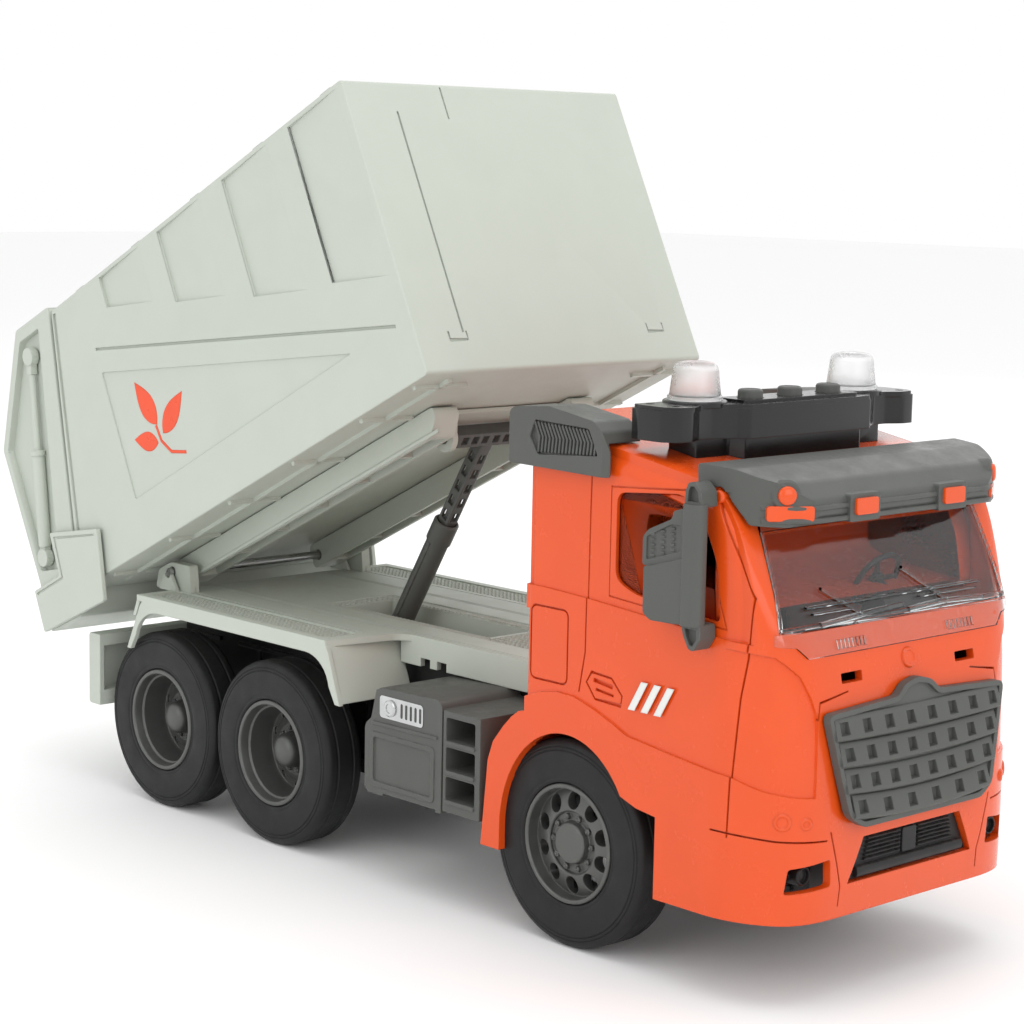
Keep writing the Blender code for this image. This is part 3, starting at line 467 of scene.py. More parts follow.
for x, y in ((40, 17), (40, -17), (-95, 17), (-95, -17), (-222, 17), (-222, -17)):
    hollows.append(moved(disc(2.6, TRAY_FLOOR - 3, TRAY_FLOOR + 1.2, 20), truck(x, y, 0)))
carve(tray, together(hollows))
polish(tray)
finished(tray, black_abs, "truck", "black_plastic", "chassis_base")
for node in ("battery_cover", "battery_holder", "motor_case", "drive_gear", "speaker"):
    dress(node, black_abs)


def bare_metal(name, colour, rough, brushed=0.0):
    """Drawn or cast metal with fine scratches and a duller skin in patches."""
    made = bpy.data.materials.new(name)
    made.use_nodes = True
    tree = made.node_tree
    shader = tree.nodes["Principled BSDF"]
    where = add(tree, "TexCoord").outputs["Object"]
    stretched = add(tree, "Mapping", [("Vector", where),
                                      ("Scale", (900.0, 60.0 + 900.0 * (1 - brushed), 900.0))])
    lines = add(tree, "TexNoise", [("Vector", stretched.outputs[0]), ("Scale", 1.0),
                                   ("Detail", 3.0)]).outputs["Fac"]
    patches = add(tree, "TexNoise", [("Vector", where), ("Scale", 180.0), ("Detail", 4.0)]).outputs["Fac"]
    dark = tuple(channel * 0.72 for channel in colour)
    base = add(tree, "Mix", [(0, patches), (6, (*dark, 1)), (7, (*colour, 1))], data_type="RGBA").outputs[2]
    tree.links.new(base, shader.inputs["Base Color"])
    shine = add(tree, "MapRange", [("Value", lines), ("To Min", rough * 0.7),
                                   ("To Max", rough * 1.4)]).outputs[0]
    tree.links.new(shine, shader.inputs["Roughness"])
    relief = add(tree, "Bump", [("Strength", 0.6), ("Distance", 0.00002), ("Height", lines)]).outputs[0]
    tree.links.new(relief, shader.inputs["Normal"])
    shader.inputs["Metallic"].default_value = 1.0
    return made


axle_steel = bare_metal("axle_steel", (0.56, 0.56, 0.57), 0.28, 0.9)
die_cast = bare_metal("die_cast_zinc", (0.5, 0.49, 0.47), 0.42)
dress("flywheel", die_cast)
for node in ("front_axle", "middle_axle", "rear_axle", "tipping_pin", "tailgate_pin"):
    dress(node, axle_steel)
board_lacquer = moulded("board_lacquer", (0.015, 0.13, 0.05), 0.3, grain=1.2, bump=0.05)
dress("circuit_board", board_lacquer)

# Wheels: soft black PVC tyres pulled over silver-grey moulded rims, pressed on the axles' knurled
# ends. The front rims have a flat face with ten holes, ten nuts and a flat cap; the rear ones are
# deep dishes with a domed hub.
TYRE_R, TYRE_W, WHEEL_OUTER_Y, RIM_R = 31.0, 15.5, 54.6, 17.8
tyre_pvc = moulded("tyre_pvc", (0.011, 0.011, 0.0115), 0.5, worn=(0.028, 0.028, 0.028), wear=0.3,
                   grain=0.22, bump=0.03, dust=0.1, tint=0.14, dusty=(0.16, 0.155, 0.15))
rim_silver = moulded("rim_silver", (0.115, 0.118, 0.112), 0.34, worn=(0.3, 0.3, 0.29), wear=0.5, grain=0.18,
                     bump=0.012, dust=0.05, metallic=0.55)


def tyre(name, outward, body, node):
    """Tyre with rounded shoulders, fine rings on the side wall and two shallow rings in the tread."""
    face, back_face = WHEEL_OUTER_Y, WHEEL_OUTER_Y - TYRE_W
    tread = TYRE_R - 0.03
    outer = [(RIM_R + 0.05, face - 1.3), (RIM_R + 0.25, face - 0.55), (RIM_R + 0.9, face - 0.2),
             (RIM_R + 1.5, face - 0.34), (RIM_R + 1.9, face - 0.34), (RIM_R + 2.3, face - 0.1),
             (22.6, face), (25.4, face - 0.02), (27.3, face - 0.12), (27.45, face - 0.38),
             (27.7, face - 0.38), (27.85, face - 0.16), (28.35, face - 0.24), (28.5, face - 0.5),
             (28.75, face - 0.5), (28.9, face - 0.3), (29.6, face - 0.55), (30.25, face - 1.0),
             (30.7, face - 1.65), (tread, face - 2.6)]
    middle = []
    for groove in (4.6, 10.9):
        middle += [(tread, face - groove + 0.5), (tread - 0.35, face - groove + 0.25),
                   (tread - 0.35, face - groove - 0.25), (tread, face - groove - 0.5)]
    inner = [(radius, back_face + face - height) for radius, height in reversed(outer[5:])]
    profile = outer + middle + inner + [(RIM_R - 1.0, back_face), (RIM_R - 1.0, face - 2.6)]
    piece = solid(name, lathe(profile, 144), outward)
    polish(piece, 38)
    finished(piece, tyre_pvc, body, "tyre_rubber", node)


def nut(radius, x, y, low, high):
    """Rounded hexagonal nut with the stud's end in it."""
    outline = arc((x, y), radius, 0, 300, 5)
    body = prism(outline, low, high)
    stud = moved(disc(radius * 0.5, low, high + 0.5, 10, 0.15), Matrix.Translation((x, y, 0)))
    return [body, stud]


def front_rim(name, outward, body, node):
    """Flat-faced rim with ten round-ended holes, a ring of nuts and a flat cap."""
    face = WHEEL_OUTER_Y - 2.6
    back_face = WHEEL_OUTER_Y - TYRE_W + 0.5
    bead = RIM_R - 1.4
    profile = [(RIM_R - 0.1, WHEEL_OUTER_Y - 1.7), (RIM_R - 0.05, WHEEL_OUTER_Y - 0.55),
               (RIM_R - 0.3, WHEEL_OUTER_Y - 0.15), (RIM_R - 0.7, WHEEL_OUTER_Y - 0.02),
               (RIM_R - 1.25, WHEEL_OUTER_Y - 0.12), (RIM_R - 1.5, WHEEL_OUTER_Y - 0.5),
               (RIM_R - 1.65, face - 1.0), (RIM_R - 1.9, face - 1.5), (14.6, face - 0.9),
               (10.9, face + 0.15), (9.6, face + 0.3), (9.2, face - 0.1), (9.1, face - 0.9),
               (6.5, face - 0.9), (6.3, face - 0.6), (6.0, face + 1.0), (5.6, face + 1.35),
               (0, face + 1.45)]
    rear = [(0, face - 3.4), (RIM_R - 3.0, face - 3.4), (RIM_R - 3.0, back_face), (bead, back_face),
            (bead, WHEEL_OUTER_Y - 2.6)]
    piece = solid(name, lathe(profile + rear, 120), outward)
    holes = []
    for index in range(10):
        turned = Matrix.Rotation(math.radians(36 * index + 18), 4, "Z")
        oval = arc((12.75, 0), (2.75, 2.45), 0, 345, 23)
        holes.append(moved(prism(oval, face - 7, face + 5), place_mm(piece) @ turned))
    carve(piece, together(holes))
    nuts = []
    for index in range(10):
        angle = math.radians(36 * index)
        nuts += nut(0.95, 7.75 * math.cos(angle), 7.75 * math.sin(angle), face - 1.0, face + 0.25)
    append_shapes(piece, nuts)
    polish(piece, 30)
    finished(piece, rim_silver, body, "silver_plastic", node)


def place_mm(piece):
    """A piece's placement in millimetres."""
    stand = piece.matrix_world.copy()
    stand.translation = stand.translation / MM
    return stand


def append_shapes(piece, shapes):
    """Add loose closed shapes, in the piece's own millimetres, to its mesh."""
    whole = bmesh.new()
    whole.from_mesh(piece.data)
    extra = together(shapes)
    bmesh.ops.scale(extra, vec=(MM, MM, MM), verts=extra.verts)
    carrier = bpy.data.meshes.new("carrier")
    extra.to_mesh(carrier)
    extra.free()
    whole.from_mesh(carrier)
    whole.to_mesh(piece.data)
    whole.free()
    bpy.data.meshes.remove(carrier)


def attach(piece, shapes):
    """Add loose closed shapes, in world millimetres, to a piece's mesh."""
    append_shapes(piece, [moved(together(shapes), place_mm(piece).inverted())])


def rear_rim(name, outward, body, node):
    """Deep dish with a stepped barrel, ten bolts and a domed hub."""
    floor = WHEEL_OUTER_Y - 12.0
    back_face = WHEEL_OUTER_Y - TYRE_W + 0.5
    bead = RIM_R - 1.4
    profile = [(RIM_R - 0.1, WHEEL_OUTER_Y - 1.7), (RIM_R - 0.05, WHEEL_OUTER_Y - 0.55),
               (RIM_R - 0.3, WHEEL_OUTER_Y - 0.15), (RIM_R - 0.7, WHEEL_OUTER_Y - 0.02),
               (RIM_R - 1.4, WHEEL_OUTER_Y - 0.1), (RIM_R - 1.7, WHEEL_OUTER_Y - 0.6),
               (15.7, WHEEL_OUTER_Y - 3.2), (15.1, WHEEL_OUTER_Y - 3.5), (14.6, floor + 1.2), (14.0, floor),
               (11.6, floor + 0.1), (10.8, floor + 0.9), (8.6, floor + 1.5), (8.2, floor + 1.2),
               (6.4, floor + 1.2), (6.0, floor + 1.6), (5.7, floor + 5.0), (5.2, floor + 6.2),
               (4.2, floor + 7.1), (2.6, floor + 7.6), (0, floor + 7.8)]
    rear = [(0, back_face + 0.4), (RIM_R - 2.6, back_face + 0.4), (RIM_R - 2.6, back_face),
            (bead, back_face), (bead, WHEEL_OUTER_Y - 2.6)]
    piece = solid(name, lathe(profile + rear, 120), outward)
    holes = []
    for index in range(10):
        turned = Matrix.Rotation(math.radians(36 * index + 18), 4, "Z")
        holes.append(moved(prism(arc((12.7, 0), (0.95, 1.5), 0, 330, 11), floor - 0.9, floor + 5),
                           place_mm(piece) @ turned))
    carve(piece, together(holes))
    nuts = []
    for index in range(10):
        angle = math.radians(36 * index)
        nuts += nut(0.85, 7.3 * math.cos(angle), 7.3 * math.sin(angle), floor + 1.0, floor + 2.3)
    append_shapes(piece, nuts)
    polish(piece, 30)
    finished(piece, rim_silver, body, "silver_plastic", node)


for axle, x in AXLES.items():
    for side_name, side in SIDES.items():
        outward = truck(x, 0, AXLE_Z) @ Matrix.Rotation(-side * math.pi / 2, 4, "X")
        tyre("tyre_%s_%s" % (axle, side_name), outward, axle + "_wheels", "%s_tyre_%s" % (axle, side_name))
        build_rim = front_rim if axle == "front" else rear_rim
        build_rim("rim_%s_%s" % (axle, side_name), outward, axle + "_wheels",
                  "%s_rim_%s" % (axle, side_name))

# Deck: one satin pale grey ABS moulding. Narrow behind the cab, it widens into lids over the rear
# wheels with rolled-down lips, and has a well for the prop, strips of fine tread on top, hinge
# posts at the tail and notches along its skirt.
DECK_TOP, DECK_HALF, LID_HALF, DECK_FRONT = 74.4, 28.2, 57.0, -22.4
WELL_BACK, WELL_FRONT, WELL_HALF, WELL_BOTTOM = -156.0, -84.0, 10.0, 56.5
HINGE_X, HINGE_Z = -217.0, 80.6
pale_grey = moulded("pale_grey_abs", (0.5, 0.535, 0.475), 0.42, worn=(0.7, 0.72, 0.68), wear=0.25,
                    grain=0.3, bump=0.014, dust=0.06, tint=0.035, dusty=(0.42, 0.41, 0.37))


def soft_corners(points, radius, steps=4):
    """Outline with its corners rounded off."""
    result = []
    for index, point in enumerate(points):
        corner, before, after = (Vector(p) for p in (point, points[index - 1],
                                                     points[(index + 1) % len(points)]))
        start = corner.lerp(before, min(0.45, radius / (before - corner).length))
        end = corner.lerp(after, min(0.45, radius / (after - corner).length))
        for step in range(steps + 1):
            share = step / steps
            result.append(tuple(start.lerp(corner, share).lerp(corner.lerp(end, share), share)))
    return result


def flank(points, side, inner, outer, place=None):
    """Side outline made thick between two distances from the centre line."""
    return moved(prism(points, *span(side, inner, outer)), upright(place or truck()))


lid_plan = [(-215.5, 36.0), (-215.5, LID_HALF), (-109.5, LID_HALF), (-105.4, 33.0),
            (-103.4, DECK_HALF + 2.0), (-100.6, DECK_HALF), (DECK_FRONT, DECK_HALF)]
deck = solid("deck_moulding", prism(lid_plan + [(x, -y) for x, y in reversed(lid_plan)], DECK_TOP - 2.2,
                                    DECK_TOP),
             truck())
parts = []
for side in SIDES.values():
    lip = [(-221.5, 54.5), (-213.6, 71.0), (-211.4, 73.2), (-208.6, DECK_TOP), (-112.4, DECK_TOP),
           (-109.7, 73.3), (-108.0, 70.6), (-102.0, 54.1), (-104.4, 54.3)]
    lip += arc((-120.0, 57.6), (12.6, 11.6), 10, 90, 9) + arc((-203.0, 57.6), (13.4, 11.6), 90, 168, 9)
    lip += [(-219.4, 54.5)]
    parts.append(flank(lip, side, LID_HALF - 1.6, LID_HALF))
    low, high = sorted((side * (DECK_HALF - 1.8), side * DECK_HALF))
    parts.append(block((-106, low, 64.6), (DECK_FRONT, high, DECK_TOP - 0.4)))
    low, high = sorted((side * (DECK_HALF - 1.8), side * (LID_HALF - 0.4)))
    apron = [(-109.7, DECK_TOP - 0.3), (-102.2, 54.6), (-104.2, 54.6), (-111.6, DECK_TOP - 0.3)]
    parts.append(flank(apron, side, DECK_HALF - 1.8, LID_HALF - 0.4))
    post = soft_corners([(-10.0, -6.6), (11.4, -6.6), (10.4, 3.4), (-1.0, 3.4), (-8.4, -0.2)], 0.9)
    parts.append(flank(post, side, 37.2, 40.8, truck(HINGE_X, 0, HINGE_Z)))
    for offset in (35.4, 42.4):
        brace = [(-5.0, -6.4), (6.0, -6.4), (2.0, -0.5), (-2.0, -0.5)]
        parts.append(flank(brace, side, offset - 0.6, offset + 0.6, truck(HINGE_X, 0, HINGE_Z)))
tail_lip = [(-215.4, DECK_TOP - 0.3), (-218.4, 66.6), (-216.6, 66.6), (-213.4, DECK_TOP - 0.3)]
parts.append(moved(prism(tail_lip, -LID_HALF + 0.4, LID_HALF - 0.4), upright(truck())))
parts.append(block((WELL_BACK - 1.6, -WELL_HALF - 1.6, WELL_BOTTOM - 1.6),
                   (WELL_FRONT + 1.6, WELL_HALF + 1.6, DECK_TOP - 0.6)))
for shape in parts:
    carve(deck, shape, "UNION")
carve(deck, block((WELL_BACK, -WELL_HALF, WELL_BOTTOM), (WELL_FRONT, WELL_HALF, 90)))
shallow = []
for low, high in (((-162.0, -15.0), (-52.0, 15.0)), ((-212.0, 41.0), (-113.0, 53.6)),
                  ((-212.0, -53.6), (-113.0, -41.0)), ((-46.0, -22.0), (DECK_FRONT - 3, 22.0))):
    shallow.append(moved(prism(rounded(low, high, 2.0), DECK_TOP - 0.7, DECK_TOP + 3), truck()))
carve(deck, together(shallow))
grooves = []
for side in SIDES.values():
    for y in (24.6, 26.2):
        low, high = sorted((side * y, side * (y + 0.55)))
        grooves.append(block((-212, low, DECK_TOP - 0.5), (DECK_FRONT - 2, high, DECK_TOP + 2)))
    low, high = sorted((side * 38.4, side * 39.0))
    grooves.append(block((-206, low, DECK_TOP - 0.5), (-112, high, DECK_TOP + 2)))
    for x in (-96.0, -88.0, -36.0, -28.5):
        low, high = sorted((side * (DECK_HALF - 3), side * (DECK_HALF + 3)))
        grooves.append(block((x, low, 60.0), (x + 4.6, high, 67.4)))
    grooves.append(moved(disc(1.9, -60, 60, 24), upright(truck(HINGE_X, 0, HINGE_Z))))
carve(deck, together(grooves), crossing=True)
treads = []
for low, high, count in (((-161.0, -14.2), (-53.0, 14.2), 54), ((-211.0, 41.9), (-114.0, 52.8), 49),
                         ((-211.0, -52.8), (-114.0, -41.9), 49),
                         ((-45.2, -21.2), (DECK_FRONT - 3.8, 21.2), 9)):
    step = (high[0] - low[0]) / count
    for index in range(count):
        x = low[0] + step * index
        if low[1] == -14.2 and WELL_BACK - 2 < x < WELL_FRONT + 2:
            for y0, y1 in ((-14.2, -10.8), (10.8, 14.2)):
                treads.append(box((x, y0, DECK_TOP - 0.75), (x + step * 0.5, y1, DECK_TOP - 0.25)))
            continue
        cells = 6 if high[1] - low[1] < 20 else 12
        for cell in range(cells):
            shift = 0.5 * (index % 2)
            y0 = low[1] + (high[1] - low[1]) * (cell + 0.25 * shift) / cells
            y1 = y0 + (high[1] - low[1]) / cells * 0.72
            treads.append(box((x, y0, DECK_TOP - 0.75), (x + step * 0.5, y1, DECK_TOP - 0.25)))
append_shapes(deck, [together(treads)])
polish(deck, 30)
finished(deck, pale_grey, "truck", "pale_grey_plastic", "rear_deck")

# Tail bar: the pale under-run guard that hangs from the tail of the deck, a hollow moulding with a
# pressed panel on its outer face and two round lamp seats a side.
BAR_BACK, BAR_FRONT, BAR_LOW, BAR_TOP = -246.0, -239.0, 30.5, 56.4
bar = solid("tail_guard", prism([(BAR_BACK + 0.8, BAR_LOW), (BAR_FRONT, BAR_LOW), (BAR_FRONT, BAR_TOP),
                                 (BAR_BACK + 0.8, BAR_TOP), (BAR_BACK, BAR_TOP - 0.8),
                                 (BAR_BACK, BAR_LOW + 0.8)],
                                -LID_HALF, LID_HALF), upright(truck()))


def fronted(points, low, high, place=None):
    """Front outline made thick between two distances along the truck."""
    return moved(prism(points, low, high), facing(place or truck()))


slots = [block((BAR_BACK - 2, -LID_HALF + 7, 20), (BAR_BACK + 16, LID_HALF - 7, 34)),
         block((BAR_BACK + 3, -LID_HALF + 2, 36), (BAR_BACK + 16, LID_HALF - 2, 52)),
         fronted(rounded((-24, 37.5), (24, 52.5), 2.5), BAR_BACK - 1, BAR_BACK + 0.8)]
for side in SIDES.values():
    for y in (33.0, 45.0):
        slots.append(moved(disc(4.6, BAR_BACK - 1, BAR_BACK + 0.7, 28), facing(truck(0, side * y, 45.0))))
carve(bar, together(slots), crossing=True)
lamps = []
for side in SIDES.values():
    for y in (33.0, 45.0):
        lamps.append(moved(lathe([(0, 0), (3.9, 0), (3.9, 0.7), (3.3, 1.2), (0, 1.5)], 28, closed=False),
                           facing(truck(BAR_BACK + 0.9, side * y, 45.0)) @ Matrix.Rotation(math.pi, 4,
                                                                                           "Y")))
lamp_seats = together(lamps)
bmesh.ops.transform(lamp_seats, matrix=place_mm(bar).inverted(), verts=lamp_seats.verts)
append_shapes(bar, [lamp_seats])
polish(bar, 30, edge=0.35)
finished(bar, pale_grey, "truck", "pale_grey_plastic", "tail_bar")

# Side lockers: dark grey ABS boxes screwed under the deck between the cab and the middle wheels. Each
# has a three-rung step ladder at the front and a bright panel with a round cap and vents.
LOCKER_IN, LOCKER_OUT = 24.4, 57.0
dark_grey = moulded("dark_grey_abs", (0.088, 0.091, 0.084), 0.4, worn=(0.24, 0.245, 0.235), wear=0.45,
                    grain=0.3, bump=0.018, dust=0.1, tint=0.06, dusty=(0.2, 0.2, 0.19))
bright_trim = bare_metal("bright_trim", (0.62, 0.63, 0.63), 0.2)
for side_name, side in SIDES.items():
    outline = [(-89.0, 31.4), (-87.4, 29.4), (-52.6, 29.4), (-51.8, 30.6), (-35.0, 30.6), (-35.0, 62.0),
               (-52.2, 62.0), (-53.0, 63.6), (-54.6, 64.6), (-81.4, 63.8), (-83.6, 62.8), (-86.0, 53.6),
               (-88.4, 51.6), (-89.0, 50.2)]
    locker = solid("locker_" + side_name, prism(outline, *span(side, LOCKER_IN, LOCKER_OUT)),
                   upright(truck()))
    pockets = []
    for low in (34.4, 43.6, 52.8):
        pocket = rounded((-50.4, low), (-37.2, low + 7.2), 0.7, 2)
        pockets.append(flank(pocket, side, 40.0, 60.0))
    pockets.append(flank([(-52.4, 20), (-52.4, 70), (-51.6, 70), (-51.6, 20)], side, 56.1, 60))
    pockets.append(flank([(-80, 27), (-55, 27), (-55, 30.2), (-80, 30.2)], side, 40, 60))
    carve(locker, together(pockets), crossing=True)
    ledges = []
    for low in (33.0, 42.2, 51.4):
        ledges.append(flank(rounded((-50.4, low + 0.2), (-37.2, low + 1.5), 0.5, 2), side, 54.0,
                            LOCKER_OUT + 0.5))
    ledges.append(flank([(-85.5, 51.6), (-54.4, 52.2), (-54.4, 53.2), (-85.2, 52.8)], side, 50.0,
                        LOCKER_OUT + 0.45))
    ledges.append(flank(rounded((-86.2, 32.0), (-55.6, 49.4), 1.6), side, 50.0, LOCKER_OUT + 0.3))
    for shape in ledges:
        carve(locker, shape, "UNION")
    carve(locker, flank(rounded((-84.6, 33.6), (-57.2, 47.8), 1.0), side, LOCKER_OUT - 0.3, 60.0))
    polish(locker, 30, edge=0.3)
    finished(locker, dark_grey, "truck", "dark_grey_plastic", "side_locker_" + side_name)
    plate = solid("gauge_panel_" + side_name, prism(rounded((-81.6, 54.6), (-61.0, 61.6), 1.2),
                                                    *span(side, LOCKER_OUT - 0.4, LOCKER_OUT + 0.25)),
                  upright(truck()))
    vents = [flank(rounded((-71.6 + 2.2 * index, 55.8), (-70.5 + 2.2 * index, 60.4), 0.4, 2), side,
                   LOCKER_OUT - 0.1, 60) for index in range(5)]
    carve(plate, together(vents))
    cap = lathe([(0, -0.2), (2.7, -0.2), (2.7, 0.5), (2.3, 0.8), (1.5, 0.8), (1.4, 0.5), (0, 0.5)], 28,
                closed=False)
    cap = moved(cap, place_mm(plate).inverted() @ truck(-76.4, side * (LOCKER_OUT + 0.2), 58.1)
                @ Matrix.Rotation(-side * math.pi / 2, 4, "X"))
    append_shapes(plate, [cap])
    polish(plate, 30)
    finished(plate, bright_trim, "truck", "silver_plastic")

# Cab: a gloss orange ABS shell moulded in one piece, open below. Its nose is crowned, its corners
# round, and it has wheel flares, door and bumper seams, headlamps moulded in and a stepped ledge
# along the door bottoms that runs on round the bumper.
CAB_HALF, CAB_REAR, CAB_WALL = 57.0, -18.0, 2.6
gloss_orange = moulded("gloss_orange_abs", (0.72, 0.076, 0.007), 0.24, worn=(0.86, 0.2, 0.06), wear=0.3,
                       grain=0.4, bump=0.006, dust=0.03, tint=0.05, coat=0.35, dusty=(0.6, 0.3, 0.2))
NOSE = [(16, 81.4), (24, 82.6), (38, 84.4), (52, 84.0), (66, 82.8), (80, 81.2), (90, 79.6), (102, 76.0),
        (118, 68.9), (133, 62.0), (139, 57.6), (146, 52.0)]


def nose_x(z, inset):
    """How far forward the nose reaches at a height, rounded where the screen begins."""
    heights, reach = zip(*NOSE)
    near = [float(np.interp(z + shift, heights, reach)) for shift in (-4, -2, 0, 2, 4)]
    return sum(near) / 5 - inset


def plan_x(y, inset):
    """How far forward the round corner reaches at a distance from the centre."""
    half = CAB_HALF - inset
    across = min(1.0, max(0.0, (abs(y) - 31.0) / (half - 31.0)))
    return 56.0 + (28.8 - inset) * math.sqrt(max(0.0, 1 - across * across))


def least(one, two, blend):
    """The smaller of two lengths, with a soft change from one to the other."""
    near = max(blend - abs(one - two), 0.0) / blend
    return min(one, two) - near * near * blend / 4


def cab_block(inset, floor_z, rear=CAB_REAR):
    """The cab's closed outer form, smaller all round by the inset."""
    half = CAB_HALF - inset
    angles = [90, 86, 82, 77, 72, 66, 60, 54, 48, 42, 36, 29, 22, 15, 8, 0]
    ys = [31 + (half - 31) * math.sin(math.radians(angle)) for angle in angles] + [26, 20, 14, 8, 3]
    ys = ys + [-y for y in reversed(ys)]
    roof_z = lambda x: 155.0 - (x + 18.0) * 12.7 / 73.6 - inset
    path = [("rear", z) for z in (floor_z, 60, 100, 140, 148)]
    path += [("roof", x) for x in (rear + inset + 0.6, rear + inset + 2.4, -8, 0, 10, 20, 30, 38, 44, 48)]
    path += [("nose", z) for z in (142.2 - inset, 140, 137, 134, 131, 127, 122, 117, 112, 108, 105, 103,
                                   101, 99, 96, 92, 88, 84, 80, 76, 72, 68, 64, 60, 56, 52, 48, 44, 40, 36,
                                   32, 28, 25)]
    path.append(("nose", floor_z))
    radius = 6.0
    shape = bmesh.new()
    columns = []
    for y in ys:
        over = max(0.0, abs(y) - (half - radius))
        drop = radius - math.sqrt(max(0.0, radius * radius - over * over))
        column = []
        for part, value in path:
            if part == "rear":
                ease = max(0.0, (value - 120.0) / 28.0)
                x, z = rear + inset + drop * 0.35, value - drop * ease * ease
            elif part == "roof":
                x, z = max(value, rear + inset + drop * 0.35), roof_z(value) - drop
                x = least(x, plan_x(y, inset), 3.0)
            else:
                x = least(nose_x(value, inset), plan_x(y, inset), 7.0)
                ease = max(0.0, min(1.0, (value - 118.0) / 24.0))
                z = value - drop * ease * ease
            column.append(shape.verts.new((x, y, z)))
        columns.append(column)
    for one, two in zip(columns, columns[1:]):
        for index in range(len(path) - 1):
            shape.faces.new((one[index], one[index + 1], two[index + 1], two[index]))
    shape.faces.new(columns[0])
    shape.faces.new(list(reversed(columns[-1])))
    shape.faces.new([column[0] for column in columns] + [column[-1] for column in reversed(columns)])
    bmesh.ops.recalc_face_normals(shape, faces=shape.faces)
    return moved(shape, truck())


def strip(points, width, low, high, closed=False):
    """A bar of even width along an outline in XY, for seams and beads."""
    count = len(points)
    sides = ([], [])
    for index, point in enumerate(points):
        before = points[(index - 1) % count] if closed or index else point
        after = points[(index + 1) % count] if closed or index < count - 1 else point
        along = Vector((after[0] - before[0], after[1] - before[1])).normalized()
        first = Vector((point[0] - before[0], point[1] - before[1]))
        reach = 1.0 if first.length < 1e-9 else 1.0 / max(0.5, abs(first.normalized().dot(along)))
        for offset, row in zip((0.5, -0.5), sides):
            row.append((point[0] - along.y * width * offset * reach,
                        point[1] + along.x * width * offset * reach))
    shape = bmesh.new()
    rows = [[shape.verts.new((x, y, z)) for x, y in row] for row in sides for z in (low, high)]
    ends = count if closed else count - 1
    for one, two in ((0, 1), (1, 3), (3, 2), (2, 0)):
        for index in range(ends):
            after = (index + 1) % count
            shape.faces.new((rows[one][index], rows[two][index], rows[two][after], rows[one][after]))
    if not closed:
        for index in (0, count - 1):
            shape.faces.new([rows[row][index] for row in (0, 1, 3, 2)])
    bmesh.ops.recalc_face_normals(shape, faces=shape.faces)
    return shape


def released(guide):
    """The shape of a guide in world millimetres; the guide itself is removed."""
    shape = bmesh.new()
    shape.from_mesh(guide.data)
    bmesh.ops.transform(shape, matrix=Matrix.Scale(1 / MM, 4) @ guide.matrix_world, verts=shape.verts)
    bpy.data.objects.remove(guide, do_unlink=True)
    return shape


cab = solid("cab_moulding", cab_block(0.0, 24.0))
ledge = [(-40.0, 66.0), (-19.0, 71.4), (-11.0, 74.6), (-3.0, 76.0), (4.0, 75.8), (12.0, 73.6), (19.5, 70.8),
         (25.6, 68.2), (42.0, 66.2), (64.0, 63.8), (72.0, 61.0), (90.0, 57.0)]
upper = [solid("upper", moved(prism(ledge + [(90, 170), (-40, 170)], -80, 80), upright(truck())))]
carve(upper[0], fronted([(-41.5, 44.0), (-39.5, 80.0), (-41.5, 86.0), (-44.5, 92.0), (-50.5, 97.4),
                         (-56.0, 98.6), (-56.0, 175), (56.0, 175), (56.0, 98.6), (50.5, 97.4), (44.5, 92.0),
                         (41.5, 86.0), (39.5, 80.0), (41.5, 44.0)], -60, 120))
carve(upper[0], cab_block(0.75, 10.0))
carve(cab, released(upper[0]))
shoulder = [(-40.0, 105.6), (-10.0, 105.6), (8.0, 104.8), (58.0, 101.2), (90.0, 99.0), (90, 146),
            (-40, 158)]
band = solid("band", moved(prism(shoulder, -80, 80), upright(truck())))
carve(band, block((-60, -54, 60), (120, 54, 190)))
carve(band, cab_block(1.45, 10.0))
carve(cab, released(band))

for side in SIDES.values():
    flare = [(-34.2, 24.0), (-32.6, 40.0), (-31.6, 50.5), (-29.4, 56.6), (-25.0, 62.0), (-21.6, 65.4),
             (-18.6, 67.6), (-12.0, 69.0), (-12.0, 24.0)]
    carve(cab, flank(flare, side, 37.6, CAB_HALF), "UNION")
carve(cab, cab_block(CAB_WALL, 8.0))
arch = [(-26.0, 8.0)] + arc((1.5, 31.0), (27.6, 33.2), 180, 36, 28) + [(30.0, 48.4), (37.6, 47.4),
                                                                       (37.6, 8.0)]
window = soft_corners([(18.4, 111.6), (18.4, 136.2), (43.6, 138.4), (51.6, 131.6), (56.6, 121.0),
                       (58.4, 105.6), (56.0, 105.2), (26.0, 108.4)], 3.2)
openings = [moved(prism(arch, -70, 70), upright(truck())), moved(prism(window, -70, 70), upright(truck())),
            fronted([(-49.4, 103.6), (49.4, 103.6), (46.8, 131.6), (-46.8, 131.6)], 54, 90),
            fronted([(-21.4, 45.6), (-27.6, 33.2), (27.6, 33.2), (21.4, 45.6)], 70, 90),
            block((-45, -37.6, 8), (-15, 37.6, 64.0))]
for side in SIDES.values():
    fog = soft_corners([(34.6, 33.8), (35.2, 41.5), (47.4, 39.8), (48.2, 32.7)], 0.8)
    openings.append(fronted([(side * y, z) for y, z in fog], 58, 92))
    openings.append(fronted(rounded((side * 25 - 4.4, 88.6), (side * 25 + 4.4, 91.4), 0.4, 2), 74, 92))
for opening in openings:
    carve(cab, opening)

